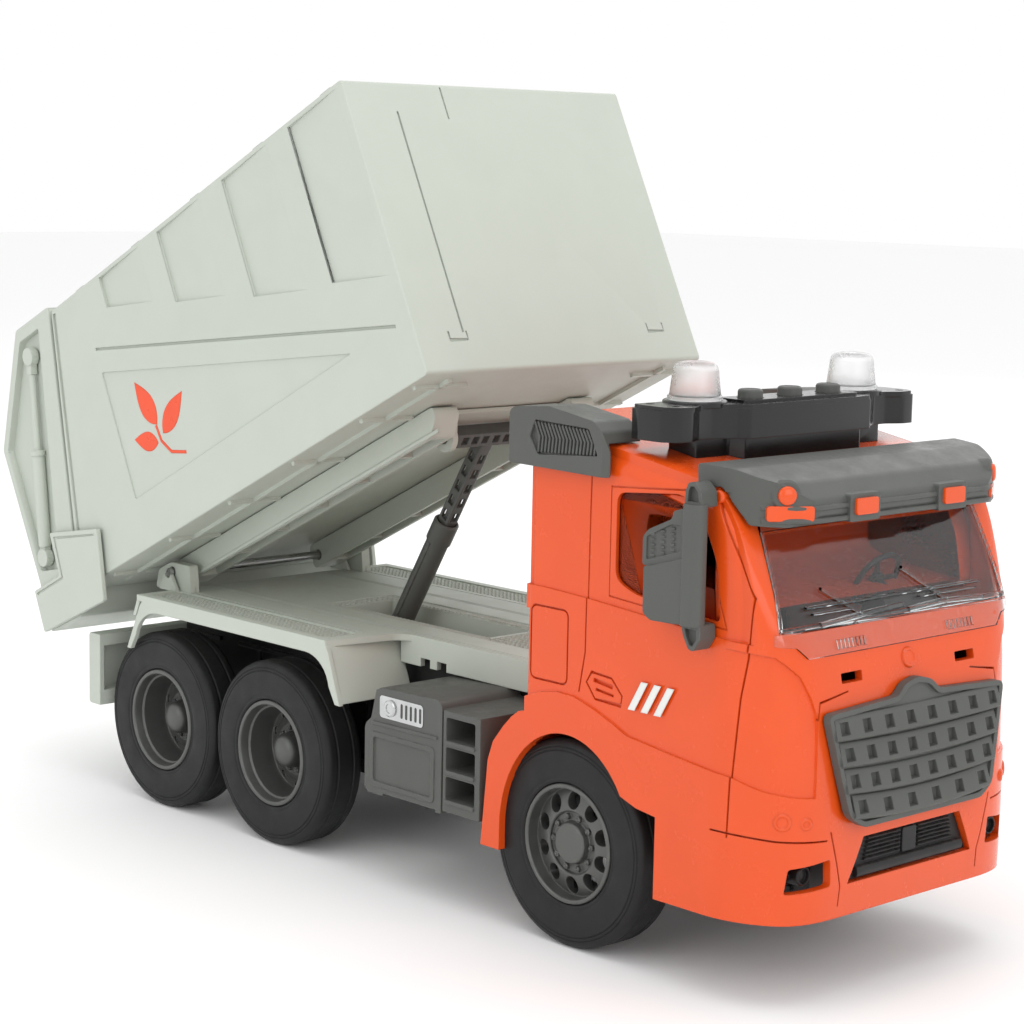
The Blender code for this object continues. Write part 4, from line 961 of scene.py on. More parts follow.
seams = []
for side in SIDES.values():
    reach = span(side, 50, 64)
    for points in ([(8.3, 141.0), (8.1, 130), (7.8, 89.3), (5.6, 77.4)],
                   [(55.0, 139.5), (61.0, 128), (68.8, 113), (67.4, 96), (65.7, 85.6), (63.9, 63.0),
                    (63.4, 47.0)]):
        seams.append(moved(strip(points, 0.55, *reach), upright(truck())))
    seams.append(moved(strip(rounded((-14.6, 78.4), (0.6, 100.0), 2.0), 0.6, *reach, closed=True),
                       upright(truck())))
    handle = [(8.6, 80.8), (10.6, 84.0), (18.6, 83.4), (22.9, 79.0), (22.4, 76.2), (12.2, 76.4)]
    seams.append(moved(strip(handle, 0.6, *reach, closed=True), upright(truck())))
    seams.append(moved(strip([(11.4, 81.9), (19.2, 80.9)], 1.2, *reach), upright(truck())))
    seams.append(moved(strip([(12.4, 79.3), (19.6, 78.5)], 0.8, *reach), upright(truck())))
    frame_line = [(16.2, 106.6), (16.2, 137.6), (48.2, 139.8), (60.4, 103.6)]
    seams.append(moved(strip(frame_line, 0.4, *reach, closed=True), upright(truck())))
    front = (58, 92)
    seams.append(moved(strip([(side * 58, 48.6), (side * 50, 47.4), (side * 36.4, 46.8)], 0.5, *front),
                       facing(truck())))
    seams.append(moved(strip([(side * 35.2, 49.0), (side * 30.6, 33.0), (side * 30.8, 27.4)], 0.5, *front),
                       facing(truck())))
    seams.append(moved(strip([(side * 39.4, 80.0), (side * 38.6, 84.6), (side * 27.0, 86.4)], 0.4, *front),
                       facing(truck())))
cutter = solid("seam_cutter", together(seams))
carve(cutter, cab_block(1.9, 10.0), crossing=True)
carve(cab, released(cutter), crossing=True)

relief = []
for side in SIDES.values():
    for y, z, radius in ((48.9, 52.8, 2.5), (43.4, 52.2, 1.8)):
        x = least(nose_x(z, 0), plan_x(y, 0), 7.0)
        bump = lathe([(0, -2), (radius, -2), (radius, 0.15), (radius - 0.35, 0.55), (radius - 0.8, 0.55),
                      (radius - 1.1, 0.2), (0, 0.45)], 28, closed=False)
        tilt = Matrix.Rotation(math.atan2(side * (y - 31) / 26 ** 2, (x - 56) / 28.8 ** 2), 4, "Z")
        relief.append(moved(bump, truck(x, side * y, z) @ tilt @ Matrix.Rotation(math.pi / 2, 4, "Y")))
badge = lathe([(0, -1.5), (2.9, -1.5), (2.9, 0.1), (2.6, 0.45), (2.1, 0.45), (1.8, 0.1), (0, 0.1)], 32,
              closed=False)
relief.append(moved(badge, truck(79.0, 0, 92.4) @ Matrix.Rotation(math.radians(75), 4, "Y")))
attach(cab, relief)
polish(cab, 28)
finished(cab, gloss_orange, "truck", "orange_plastic", "cab_shell")

# Cab interior: a black tub with a ribbed dashboard, a hooded instrument binnacle, a gear lever, and
# two bucket seats with bolsters, pushed up into the cab from below.
satin_black = moulded("satin_black_abs", (0.016, 0.015, 0.015), 0.42, worn=(0.05, 0.05, 0.05), dust=0.12,
                      grain=0.5, bump=0.02)
tub = solid("cab_tub", prism([(-14.0, 68.6), (-14.0, 74.0), (40.0, 74.0), (44.0, 80.0), (50.0, 95.6),
                              (53.6, 98.0), (64.0, 98.6), (67.6, 96.0), (69.4, 72.0), (68.0, 68.6)], -46,
                             46), upright(truck()))
inside = [moved(prism(soft_corners([(44.6, -36.0), (44.6, -16.0), (60.0, -18.0), (60.0, -34.0)], 3.0), 97.2,
                      120),
                truck())]
for index in range(11):
    inside.append(block((52.0 + 1.2 * index, -6, 98.0), (52.6 + 1.2 * index, 12, 104)))
for y in (-40.0, -8.0, 8.0, 41.0):
    inside.append(moved(disc(2.6, -4, 6, 24), truck(48.0, y, 91.0) @ Matrix.Rotation(math.radians(-70), 4,
                                                                                     "Y")))
for shape in inside:
    carve(tub, shape)
hood = moved(prism(soft_corners([(47.0, 95.0), (51.0, 103.4), (57.0, 104.6), (62.0, 98.0), (60.0, 94.0)],
                                1.4), -38, -14),
             upright(truck()))
carve(tub, hood, "UNION")
furniture = []
for side in SIDES.values():
    centre = side * 24.0
    cushion = soft_corners([(0.0, 74.2), (0.0, 82.0), (23.0, 84.6), (26.4, 82.0), (25.4, 74.2)], 2.4)
    furniture.append(moved(prism(cushion, -centre - 13, -centre + 13), upright(truck())))
    rest = soft_corners([(-9.0, 80.0), (-12.6, 104.0), (-12.0, 120.0), (-7.6, 121.6), (-5.4, 118.0),
                         (-5.0, 104.0), (1.0, 82.0)], 2.2)
    furniture.append(moved(prism(rest, -centre - 10, -centre + 10), upright(truck())))
    for edge in (-13.6, 10.4):
        bolster = soft_corners([(-6.0, 82.0), (-8.8, 108.0), (-4.8, 109.0), (3.6, 84.6), (25.0, 87.4),
                                (26.0, 83.0)], 1.6)
        furniture.append(moved(prism(bolster, -centre + edge, -centre + edge + 3.2), upright(truck())))
furniture.append(moved(lathe([(0, 0), (3.4, 0), (2.8, 2.0), (1.0, 3.4), (0.8, 12.0), (1.9, 13.0),
                              (2.2, 14.6), (1.4, 16.2), (0, 16.6)], 20, closed=False),
                       truck(36.0, 0, 74.0)))
attach(tub, furniture)
polish(tub, 30)
finished(tub, satin_black, "truck", "black_plastic", "cab_interior")

# Steering wheel: black, on the truck's left, a ring with three spokes and a hub on a thin column.
column = truck(45.0, 26.0, 107.0) @ Matrix.Rotation(math.radians(-60), 4, "Y")
ring = [(8.8 + 0.85 * math.cos(a), 0.85 * math.sin(a))
        for a in (2 * math.pi * step / 12 for step in range(12))]
steering = solid("steering_ring", lathe(ring, 60), column)
spokes = [lathe([(0, -1.0), (2.6, -1.0), (2.6, 0.5), (2.2, 0.9), (0, 1.1)], 28, closed=False),
          disc(1.3, -6.6, -0.6, 16)]
for angle in (90, 210, 330):
    spokes.append(moved(prism([(1.8, -1.0), (8.5, -0.6), (8.5, 0.6), (1.8, 1.0)], -0.5, 0.3),
                        Matrix.Rotation(math.radians(angle), 4, "Z")))
append_shapes(steering, spokes)
polish(steering, 35)
finished(steering, satin_black, "truck", "black_plastic", "steering_wheel")

# Windscreen: clear polystyrene clipped into the nose, with a thick rim, a pair of wipers and an air
# grid moulded on it, and a notched apron that laps over the cowl.
def clear_plastic(name, colour, rough, grain=0.6):
    """Clear moulding: glass that lets light through to what it shades, with a faint rippled skin."""
    made = bpy.data.materials.new(name)
    made.use_nodes = True
    tree = made.node_tree
    shader = tree.nodes["Principled BSDF"]
    marks = add(tree, "Group", node_tree=MARKS)
    marks.inputs["Grain Size"].default_value = grain
    rubbed = add(tree, "Group", node_tree=RUBBED)
    rubbed.inputs["Width"].default_value = 0.0004
    tint = add(tree, "Mix", [(0, rubbed.outputs["Mask"]), (6, (*colour, 1)), (7, (0.99, 1.0, 1.0, 1))],
               data_type="RGBA").outputs[2]
    tree.links.new(tint, shader.inputs["Base Color"])
    shine = add(tree, "MapRange", [("Value", marks.outputs["Shine"]), ("From Min", 0.3), ("From Max", 0.7),
                                   ("To Min", rough * 0.6), ("To Max", rough * 1.5)]).outputs[0]
    tree.links.new(shine, shader.inputs["Roughness"])
    relief = add(tree, "Bump", [("Strength", 0.5), ("Distance", 0.00001),
                                ("Height", marks.outputs["Height"])]).outputs[0]
    tree.links.new(relief, shader.inputs["Normal"])
    shader.inputs["Transmission Weight"].default_value = 1.0
    shader.inputs["IOR"].default_value = 1.4
    see_through = add(tree, "BsdfTransparent", [("Color", (0.93, 0.95, 0.95, 1))])
    shadow = add(tree, "LightPath").outputs["Is Shadow Ray"]
    both = add(tree, "MixShader", [(0, shadow), (1, shader.outputs[0]), (2, see_through.outputs[0])])
    tree.links.new(both.outputs[0], tree.nodes["Material Output"].inputs["Surface"])
    return made


screen_clear = clear_plastic("screen_clear", (0.97, 0.985, 0.985), 0.03)


def skinned(piece, outer, inner):
    """What lies between two depths under the cab's nose."""
    carve(piece, cab_block(inner, 8.0))
    outside = solid("outside", block((40, -75, 0), (130, 75, 175)))
    carve(outside, cab_block(outer, 8.0))
    carve(piece, released(outside))
    return released(piece)


def nose_layer(outline, outer, inner):
    """A skin that follows the cab's nose inside an outline seen from the front."""
    return skinned(solid("layer", fronted(outline, 57, 95)), outer, inner)


pane_edge = soft_corners([(-49.3, 103.7), (-46.7, 131.5), (46.7, 131.5), (49.3, 103.7)], 2.0)
pane = solid("windscreen", nose_layer(pane_edge, -0.1, 1.5))
apron = [(-50.6, 103.5), (-50.8, 100.4), (-45.2, 99.8), (-41.6, 96.6), (41.6, 96.6), (45.2, 99.8),
         (50.8, 100.4), (50.6, 103.5)]
overlays = [nose_layer(apron, -0.75, -0.02)]
rim_line = [(-49.0, 104.4), (-46.4, 130.8), (46.4, 130.8), (49.0, 104.4)]
rim = solid("rim", moved(strip(rim_line, 1.2, 57, 95, closed=True), facing(truck())))
overlays.append(skinned(rim, -0.8, 0.1))
for points, width in (([(-34.0, 104.6), (-16.0, 105.6), (2.0, 106.4)], 1.3),
                      ([(-16.0, 106.0), (-30.0, 113.6)], 0.9),
                      ([(4.0, 105.0), (20.0, 105.6), (38.0, 105.0)], 1.3),
                      ([(22.0, 106.0), (6.0, 116.0)], 0.9), ([(-38.0, 109.4), (38.0, 109.4)], 0.6),
                      ([(-36.0, 107.6), (-20.0, 107.6)], 0.5), ([(10.0, 107.8), (36.0, 107.8)], 0.5)):
    wiper = solid("wiper", moved(strip(points, width, 57, 95), facing(truck())))
    overlays.append(skinned(wiper, -0.9, 0.12))
for index in range(8):
    for start in (-24.0, 24.0):
        y = start - 5.6 + 1.6 * index
        overlays.append(nose_layer([(y, 98.0), (y, 100.4), (y + 0.9, 100.4), (y + 0.9, 98.0)], -1.1, -0.7))
append_shapes(pane, overlays)
polish(pane, 30)
finished(pane, screen_clear, "truck", "clear_plastic", "windshield")

# Radiator grille: dark grey insert snapped into the nose. Four bowed slats stand proud of a back
# plate inside a thin frame, each pierced by a row of square holes.
def grille_x(z):
    """Front of the grille's back plate at a height."""
    return 82.0 + (80.4 - z) * 0.1


insert_edge = soft_corners([(38.0, 81.0), (33.8, 64.0), (31.0, 53.6), (26.0, 50.4), (-26.0, 50.4),
                            (-31.0, 53.6), (-33.8, 64.0), (-38.0, 81.0), (-9.0, 82.4), (-5.4, 85.6),
                            (0.0, 86.8), (5.4, 85.6), (9.0, 82.4)], 1.6)
insert = solid("radiator_grille", fronted(insert_edge, 70, 100))
trim = solid("trim", moved(prism([(grille_x(40) + 0.4, 40), (grille_x(95) + 0.4, 95), (150, 95), (150, 40)],
                                 -60, 60),
                           upright(truck())))
carve(insert, released(trim))
carve(insert, moved(prism([(40, 40), (grille_x(40) - 1.2, 40), (grille_x(95) - 1.2, 95), (40, 95)], -60,
                          60),
                    upright(truck())))
hem = solid("hem", moved(strip(insert_edge, 1.5, 70, 100, closed=True), facing(truck())))
carve(hem, moved(prism([(grille_x(40) + 1.5, 40), (grille_x(95) + 1.5, 95), (150, 95), (150, 40)], -60, 60),
                 upright(truck())))
carve(hem, moved(prism([(40, 40), (grille_x(40) - 1.0, 40), (grille_x(95) - 1.0, 95), (40, 95)], -60, 60),
                 upright(truck())))
carve(insert, released(hem), "UNION", crossing=True)
for row, (middle, half, count) in enumerate(((76.6, 36.4, 8), (69.4, 34.6, 8), (62.0, 32.8, 8),
                                             (54.8, 30.0, 6))):
    slat = bmesh.new()
    section = [(-0.3, 3.5), (0.9, 3.3), (1.4, 2.7), (2.5, -2.0), (2.5, -2.8), (2.0, -3.3), (0.2, -3.1),
               (-0.3, -3.1)]
    rings = []
    for step in range(25):
        y = -half + 2 * half * step / 24
        sag = 1.0 - 1.6 * (1 - (y / half) ** 2) * (0.35 + 0.22 * row)
        rings.append([slat.verts.new((grille_x(middle + z) + x - 0.5 * (abs(y) / half) ** 6, y,
                                      middle + z + sag))
                      for x, z in section])
    for one, two in zip(rings, rings[1:]):
        for index in range(len(section)):
            after = (index + 1) % len(section)
            slat.faces.new((one[index], one[after], two[after], two[index]))
    slat.faces.new(rings[0])
    slat.faces.new(list(reversed(rings[-1])))
    bmesh.ops.recalc_face_normals(slat, faces=slat.faces)
    guide = solid("slat", moved(slat, truck()))
    for index in range(count):
        y = (index - (count - 1) / 2) * (2 * half - 7.0) / (count - 1)
        sag = 1.0 - 1.6 * (1 - (y / half) ** 2) * (0.35 + 0.22 * row)
        z = middle + sag - 0.2
        hole = lathe([(0, 0), (1.45 * 1.414, 0), (2.35 * 1.414, 6.0), (0, 6.0)], 4, closed=False)
        hole = moved(hole, Matrix.Rotation(math.radians(45), 4, "Z"))
        carve(guide, moved(hole, truck(grille_x(z) - 0.6, y, z) @ Matrix.Rotation(math.radians(84), 4,
                                                                                  "Y")))
    carve(insert, released(guide), "UNION")
polish(insert, 28)
finished(insert, dark_grey, "truck", "dark_grey_plastic", "grille")

# Lower grille: a black insert behind the bumper opening, with two blocks of fine louvres, a plain
# boss between them and a sill bar under both.
low_edge = [(27.2, 33.5), (21.0, 45.3), (-21.0, 45.3), (-27.2, 33.5)]
lower = solid("bumper_grille", fronted(low_edge, 79.6, 80.8))
louvres = []
for side in SIDES.values():
    for index in range(6):
        z = 38.2 + 1.15 * index
        edge = 19.6 - 0.3 * index
        low, high = sorted((side * 4.0, side * edge))
        louvres.append(moved(prism([(80.6, z), (81.9, z + 0.12), (81.9, z + 0.4), (80.6, z + 0.75)], -high,
                                   -low),
                             upright(truck())))
louvres.append(moved(prism(soft_corners([(80.2, 34.2), (80.2, 37.2), (82.4, 37.0), (82.8, 35.6),
                                         (82.4, 34.2)], 0.5),
                           -23.5, 23.5), upright(truck())))
louvres.append(fronted(soft_corners([(-3.0, 37.6), (-3.0, 44.6), (3.0, 44.6), (3.0, 37.6)], 0.8), 80.2,
                       81.8))
attach(lower, louvres)
polish(lower, 30)
finished(lower, satin_black, "truck", "black_plastic", "lower_grille")

# Fog lamps: glossy black pockets let into the bumper's corners, each with a ringed round lamp on a
# cross bar.
for side_name, side in SIDES.items():
    edge = soft_corners([(35.0, 34.4), (35.6, 41.0), (47.0, 39.4), (47.8, 33.2)], 0.8)
    pocket = solid("fog_pocket_" + side_name, fronted([(side * y, z) for y, z in edge], 72.4, 73.8))
    lamp = [moved(lathe([(0, 0), (2.8, 0), (2.8, 5.2), (2.45, 5.6), (2.1, 5.6), (1.9, 4.4), (0, 4.9)], 32,
                        closed=False),
                  facing(truck(73.4, side * 41.6, 37.1))),
            block((73.4, side * 41.3 - 6.0, 36.6), (76.0, side * 41.3 + 6.0, 37.6)),
            block((73.4, side * 41.3 - 0.5, 34.4), (76.0, side * 41.3 + 0.5, 40.2))]
    attach(pocket, lamp)
    polish(pocket, 30)
    finished(pocket, black_abs, "truck", "black_plastic", "fog_lamp_" + side_name)

# Sun visor: dark grey moulding over the screen, with a rail along its lower lip, brackets for four
# oblong marker lamps and bosses for round ones. The lamps are orange plugs pushed in from outside.
visor_side = soft_corners([(49.0, 140.0), (48.6, 147.6), (60.0, 146.8), (70.4, 143.4), (75.6, 138.8),
                           (76.2, 134.6), (72.4, 131.6), (63.8, 131.9), (62.9, 133.6), (56.4, 142.0)], 1.2)
visor_plan = arc((48.0, 31.0), (28.8, 24.6), 90, 0, 24)
visor_plan = [(30, 55.6)] + visor_plan + [(x, -y) for x, y in reversed(visor_plan)] + [(30, -55.6)]
visor = solid("screen_visor", moved(prism(visor_side, -60, 60), upright(truck())))
shade = solid("shade", moved(prism(visor_plan, 100, 170), truck()))
outside = solid("outside", block((20, -80, 90), (140, 80, 180)))
carve(outside, released(shade))
carve(visor, released(outside))
carve(visor, cab_block(-0.35, 20.0))
details = [flank(soft_corners([(52.6, 136.6), (52.6, 141.2), (66.0, 139.4), (68.6, 137.0), (66.0, 135.6)],
                              0.8), side, 53.6, 62) for side in SIDES.values()]
for shape in details:
    carve(visor, shape)
fitted = []
plugs = []
for side in SIDES.values():
    fitted.append(fronted(rounded((side * 19.3 - 6.4, 132.2), (side * 19.3 + 6.4, 139.8), 0.8), 70, 77.2))
    fitted.append(moved(disc(4.3, -6, 0.9, 32, 0.6), truck(70.6, side * 44.6, 140.2) @ Matrix.Rotation(
        side * math.radians(32), 4, "Z") @ Matrix.Rotation(math.radians(86), 4, "Y")))
    plugs.append(fronted(rounded((side * 19.3 - 4.6, 134.0), (side * 19.3 + 4.6, 138.6), 0.9), 72, 78.2))
    plugs.append(moved(prism(rounded((-6.6, -2.1), (6.6, 2.1), 0.9), -3.0, 1.7),
                       truck(71.0, side * 43.6, 135.4) @ Matrix.Rotation(side * math.radians(34), 4,
                                                                         "Z") @ facing(Matrix())))
    plugs.append(moved(lathe([(0, -3), (2.6, -3), (2.6, 1.4), (2.3, 1.8), (1.4, 2.1), (0, 2.2)], 28,
                             closed=False),
                       truck(70.6, side * 44.6, 140.2) @ Matrix.Rotation(side * math.radians(32), 4, "Z")
                       @ Matrix.Rotation(math.radians(86), 4, "Y")))
    plugs.append(moved(lathe([(0, -3), (1.9, -3), (1.9, 0.6), (1.4, 1.2), (0, 1.4)], 24, closed=False),
                       truck(55.6, side * 54.0, 139.0) @ Matrix.Rotation(-side * math.pi / 2, 4, "X")))
for z, proud in ((133.4, 0.7), (136.8, 0.5)):
    rail = bmesh.new()
    rings = []
    for y in np.linspace(-50, 50, 61):
        across = min(1.0, max(0.0, (abs(y) - 31.0) / 24.6))
        reach = min(48.0 + 28.8 * math.sqrt(1 - across * across), 76.0)
        rings.append([rail.verts.new((reach + x, y, z + dz)) for x,
                      dz in ((-1.5, -0.7), (proud - 0.3, -0.7),
                                                                         (proud, -0.3), (proud, 0.3),
                                                                         (proud - 0.3, 0.7), (-1.5, 0.7))])
    for one, two in zip(rings, rings[1:]):
        for index in range(6):
            after = (index + 1) % 6
            rail.faces.new((one[index], one[after], two[after], two[index]))
    rail.faces.new(rings[0])
    rail.faces.new(list(reversed(rings[-1])))
    bmesh.ops.recalc_face_normals(rail, faces=rail.faces)
    fitted.append(moved(rail, truck()))
for shape in fitted:
    carve(visor, shape, "UNION")
polish(visor, 30)
finished(visor, dark_grey, "truck", "dark_grey_plastic", "sun_visor")
lamp_plugs = solid("visor_lamps", together(plugs))
polish(lamp_plugs, 30, edge=0.25)
finished(lamp_plugs, gloss_orange, "truck", "orange_plastic")

# Air deflectors: dark grey mouldings hooked over the rear corners of the roof, each with a sunken
# panel of chevron louvres.
for side_name, side in SIDES.items():
    outline = soft_corners([(-22.4, 140.9), (-22.4, 155.8), (-20.6, 157.2), (-6.0, 158.4), (12.0, 155.6),
                            (15.4, 152.8), (17.4, 147.0), (17.4, 140.2)], 0.9)
    deflector = solid("deflector_" + side_name, prism(outline, *span(side, 45.0, 59.2)), upright(truck()))
    carve(deflector, flank([(-40, 120), (-40, 140.4), (-18.5, 140.4), (-18.5, 155.6), (24, 148.4),
                            (24, 120)], side, 38.0, 57.5))
    chamfer = [(13.6, side * 60.4), (18.6, side * 60.4), (18.6, side * 57.0)]
    carve(deflector, moved(prism(chamfer, 130, 165), truck()))
    panel = [(-11.8, 154.2), (10.2, 153.4), (14.0, 146.0), (-10.4, 144.2), (-13.8, 149.2)]
    carve(deflector, flank(soft_corners(panel, 0.8), side, 58.1, 62))
    slats = []
    for index in range(17):
        x = -11.6 + 1.42 * index
        slats.append(moved(strip([(x - 0.6, 153.6 - 0.04 * index), (x + 1.5, 149.4),
                                  (x + 1.0, 144.9 + 0.07 * index)], 0.62,
                                 *span(side, 57.8, 58.95)), upright(truck())))
    attach(deflector, slats)
    polish(deflector, 30)
    finished(deflector, dark_grey, "truck", "dark_grey_plastic", "air_deflector_" + side_name)

# Door mirrors: dark grey, on two tapered arms off the windscreen pillar. A round upright carries two
# housings, the upper one with a patch of raised bars and the lower one with a plain cover.
for side_name, side in SIDES.items():
    cover = soft_corners([(37.0, 105.8), (37.0, 118.8), (40.0, 119.2), (52.0, 122.6), (52.0, 104.6),
                          (47.8, 104.3), (39.8, 104.1)], 1.0)
    mirror = solid("door_mirror_" + side_name, prism(cover, *span(side, 60.2, 63.6)), upright(truck()))
    wing = soft_corners([(35.8, 118.8), (35.8, 126.6), (37.8, 128.8), (46.5, 132.6), (46.9, 134.8),
                         (49.2, 135.5), (53.0, 136.4), (53.0, 119.0)], 0.9)
    carve(mirror, flank(wing, side, 60.6, 62.9), "UNION")
    upright_bar = soft_corners([(50.8, 61.0), (51.2, 64.2), (55.6, 64.2), (57.2, 62.6), (57.2, 60.0),
                                (51.6, 59.8)], 0.9)
    bar_shape = prism([(x, side * y) for x, y in upright_bar], 104.4, 137.4)
    bmesh.ops.recalc_face_normals(bar_shape, faces=bar_shape.faces)
    carve(mirror, moved(bar_shape, truck()), "UNION")
    for arm in (((50.6, 136.6), (50.9, 141.0), (52.0, 143.2), (54.2, 143.2), (56.6, 141.0), (57.0, 136.6)),
                ((50.4, 105.0), (51.4, 101.4), (53.4, 98.0), (55.2, 97.6), (57.6, 101.0), (57.4, 105.0))):
        carve(mirror, flank(soft_corners(list(arm), 0.8), side, CAB_HALF - 0.4, 62.6), "UNION")
        middle_x, middle_z = sum(x for x, z in arm) / 6, sum(z for x, z in arm) / 6
        scoop = [(middle_x + (x - middle_x) * 0.62, middle_z + (z - middle_z) * 0.62) for x, z in arm]
        carve(mirror, flank(scoop, side, 61.2, 64))
    patch = [(37.2, 120.4), (37.2, 126.8), (46.6, 131.2), (50.0, 131.2), (50.0, 124.2)]
    carve(mirror, flank(soft_corners(patch, 0.7), side, 62.4, 66))
    bars = []
    for across in range(3):
        for down in range(5):
            x, z = 38.6 + 3.7 * across, 121.6 + 1.15 * across + 1.45 * down
            bars.append(flank(rounded((x, z), (x + 1.5, z + 0.6), 0.2, 2), side, 62.2, 62.85))
    attach(mirror, bars)
    polish(mirror, 30)
    finished(mirror, dark_grey, "truck", "dark_grey_plastic", "mirror_" + side_name)

# Light bar: gloss black, screwed to the roof, with waisted ends, a deeper middle that holds the
# switches, and raised seats under the beacons and the push buttons.
BAR_LOW, BAR_HIGH, BEACON_X, BEACON_Y, BUTTON_X = 149.8, 161.0, 26.8, 34.1, 32.2
gloss_black = moulded("gloss_black_abs", (0.009, 0.009, 0.009), 0.2, worn=(0.05, 0.05, 0.05), grain=0.4,
                      bump=0.006, dust=0.12, coat=0.3, dusty=(0.12, 0.12, 0.12))
plan = [(20.4, 53.0), (24.0, 54.0), (33.0, 54.0), (37.2, 51.0), (37.4, 46.0), (34.8, 41.0), (34.8, 35.0),
        (37.0, 31.0), (37.6, 28.0), (41.0, 26.6)]
plan = soft_corners(plan + [(x, -y) for x, y in reversed(plan)], 0.9, 3)
bar = solid("roof_bar", moved(prism(plan, BAR_LOW + 1.6, BAR_HIGH - 1.0), truck()))
crown = [(x * 0.985 + 0.45, y * 0.985) for x, y in plan]
carve(bar, moved(prism(crown, BAR_HIGH - 1.6, BAR_HIGH), truck()), "UNION")
carve(bar, moved(prism(soft_corners([(22.4, -40), (22.4, 40), (33.4, 40), (33.4, 27), (38.6, 25),
                                     (38.6, -25), (33.4, -27), (33.4, -40)], 0.8), 145.6, BAR_LOW + 2),
                 truck()), "UNION")
carve(bar, cab_block(-0.02, 20.0))
carve(bar, moved(prism(rounded((BUTTON_X - 6.0, -24.6), (BUTTON_X + 5.6, 24.6), 1.6), BAR_HIGH - 0.5,
                       BAR_HIGH + 0.9),
                 truck()), "UNION")
for side in SIDES.values():
    carve(bar, moved(disc(9.2, BAR_HIGH - 1, BAR_HIGH + 0.75, 48, 0.4),
                     truck(BEACON_X, side * BEACON_Y, 0)), "UNION")
for y in (-17.0, 0.0, 17.0):
    carve(bar, moved(disc(4.0, BAR_HIGH - 3.4, BAR_HIGH + 4, 32), truck(BUTTON_X, y, 0)))
for side in SIDES.values():
    for x, y in ((23.6, 48.8), (33.4, 48.8)):
        carve(bar, moved(disc(1.3, BAR_HIGH - 0.5, BAR_HIGH + 3, 20), truck(x, side * y, 0)))
polish(bar, 30, edge=0.25)
finished(bar, gloss_black, "truck", "black_plastic", "light_bar")

beacon_clear = clear_plastic("beacon_frosted_clear", (0.97, 0.97, 0.97), 0.3, grain=0.25)
for side_name, side in SIDES.items():
    bulb = [(0, 11.2), (3.6, 11.1), (5.2, 10.7), (6.1, 9.9), (6.5, 8.6), (7.3, 2.0), (7.6, 1.6), (7.9, 1.4),
            (7.9, 0.4), (6.6, 0.4), (6.4, 2.0), (5.7, 8.4), (5.3, 9.2), (4.6, 9.8), (3.0, 10.0), (0, 10.1)]
    beacon = solid("beacon_lens_" + side_name, lathe(bulb, 64, closed=False),
                   truck(BEACON_X, side * BEACON_Y, BAR_HIGH + 0.4))
    polish(beacon, 40)
    finished(beacon, beacon_clear, "truck", "clear_plastic", "beacon_" + side_name)

for index, y in enumerate((-17.0, 0.0, 17.0), 1):
    profile = [(0, -4.4), (5.0, -4.4), (5.0, -3.2), (3.6, -3.2), (3.6, 2.7), (3.3, 3.2), (2.9, 3.4),
               (2.6, 3.2), (0, 3.05)]
    button = solid("push_button_%d" % index, lathe(profile, 48, closed=False), truck(BUTTON_X, y, BAR_HIGH))
    polish(button, 35)
    finished(button, dark_grey, "button_%d" % index, "dark_grey_plastic", "button_%d" % index)

# Refuse body: a pale grey box moulding, tipped up on its hinge, open at the leaning tail seam. It
# has raised ribs over the roof, fading louvres and a sunken triangle on its sides, and a front wall
# with mould witness lines. Two rails and a cross bracket with ears for the prop are fixed below.
TIP = math.radians(26.0)
BODY_HALF, BODY_FRONT, BODY_SEAM, SEAM_FOOT = 59.8, 179.0, -4.0, -31.0
BODY_FLOOR, BODY_TOP, BODY_WALL = 5.0, 102.3, 2.0
BODY_AXIS = truck(HINGE_X, 0, HINGE_Z) @ Matrix.Rotation(-TIP, 4, "Y")


def tipped(x=0.0, y=0.0, z=0.0):
    """Placement in millimetres in the raised body's frame, from its hinge."""
    return BODY_AXIS @ Matrix.Translation((x, y, z))


body_side = soft_corners([(BODY_SEAM, BODY_TOP), (BODY_FRONT, BODY_TOP), (BODY_FRONT, BODY_FLOOR),
                          (SEAM_FOOT, BODY_FLOOR)], 1.4)
body = solid("refuse_body", prism(body_side, -BODY_HALF, BODY_HALF), upright(tipped()))
polish(body, 30, edge=1.1, segments=3)
settle(body)
carve(body, block((SEAM_FOOT - 5, -BODY_HALF + BODY_WALL, BODY_FLOOR + BODY_WALL),
                  (BODY_FRONT - BODY_WALL, BODY_HALF - BODY_WALL, BODY_TOP - BODY_WALL), tipped()))
additions = []
for index in range(5):
    x = 14.0 + 38.6 * index
    hump = [(x - 4.2, BODY_TOP - 0.6), (x - 3.4, BODY_TOP + 1.3), (x - 2.8, BODY_TOP + 1.5),
            (x + 2.0, BODY_TOP + 1.5), (x + 3.2, BODY_TOP + 1.2), (x + 7.0, BODY_TOP - 0.6)]
    additions.append(moved(prism(hump, -BODY_HALF + 2.4, BODY_HALF - 2.4), upright(tipped())))
for side in SIDES.values():
    low, high = sorted((side * 24.2, side * 36.0))
    additions.append(block((-3.7, low, BODY_TOP - 1.0), (4.0, high, 105.0), tipped()))
    additions.append(moved(disc(2.4, -high, -low, 32, 0.2), upright(tipped(-4.3, 0, 104.0))))
for shape in additions:
    carve(body, shape, "UNION")
carve(body, moved(disc(1.35, -60, 60, 24), upright(tipped(-4.3, 0, 104.0))))
LOUVRES = ((148.8, 47.6), (109.8, 59.6), (68.8, 75.1), (29.8, 89.6))
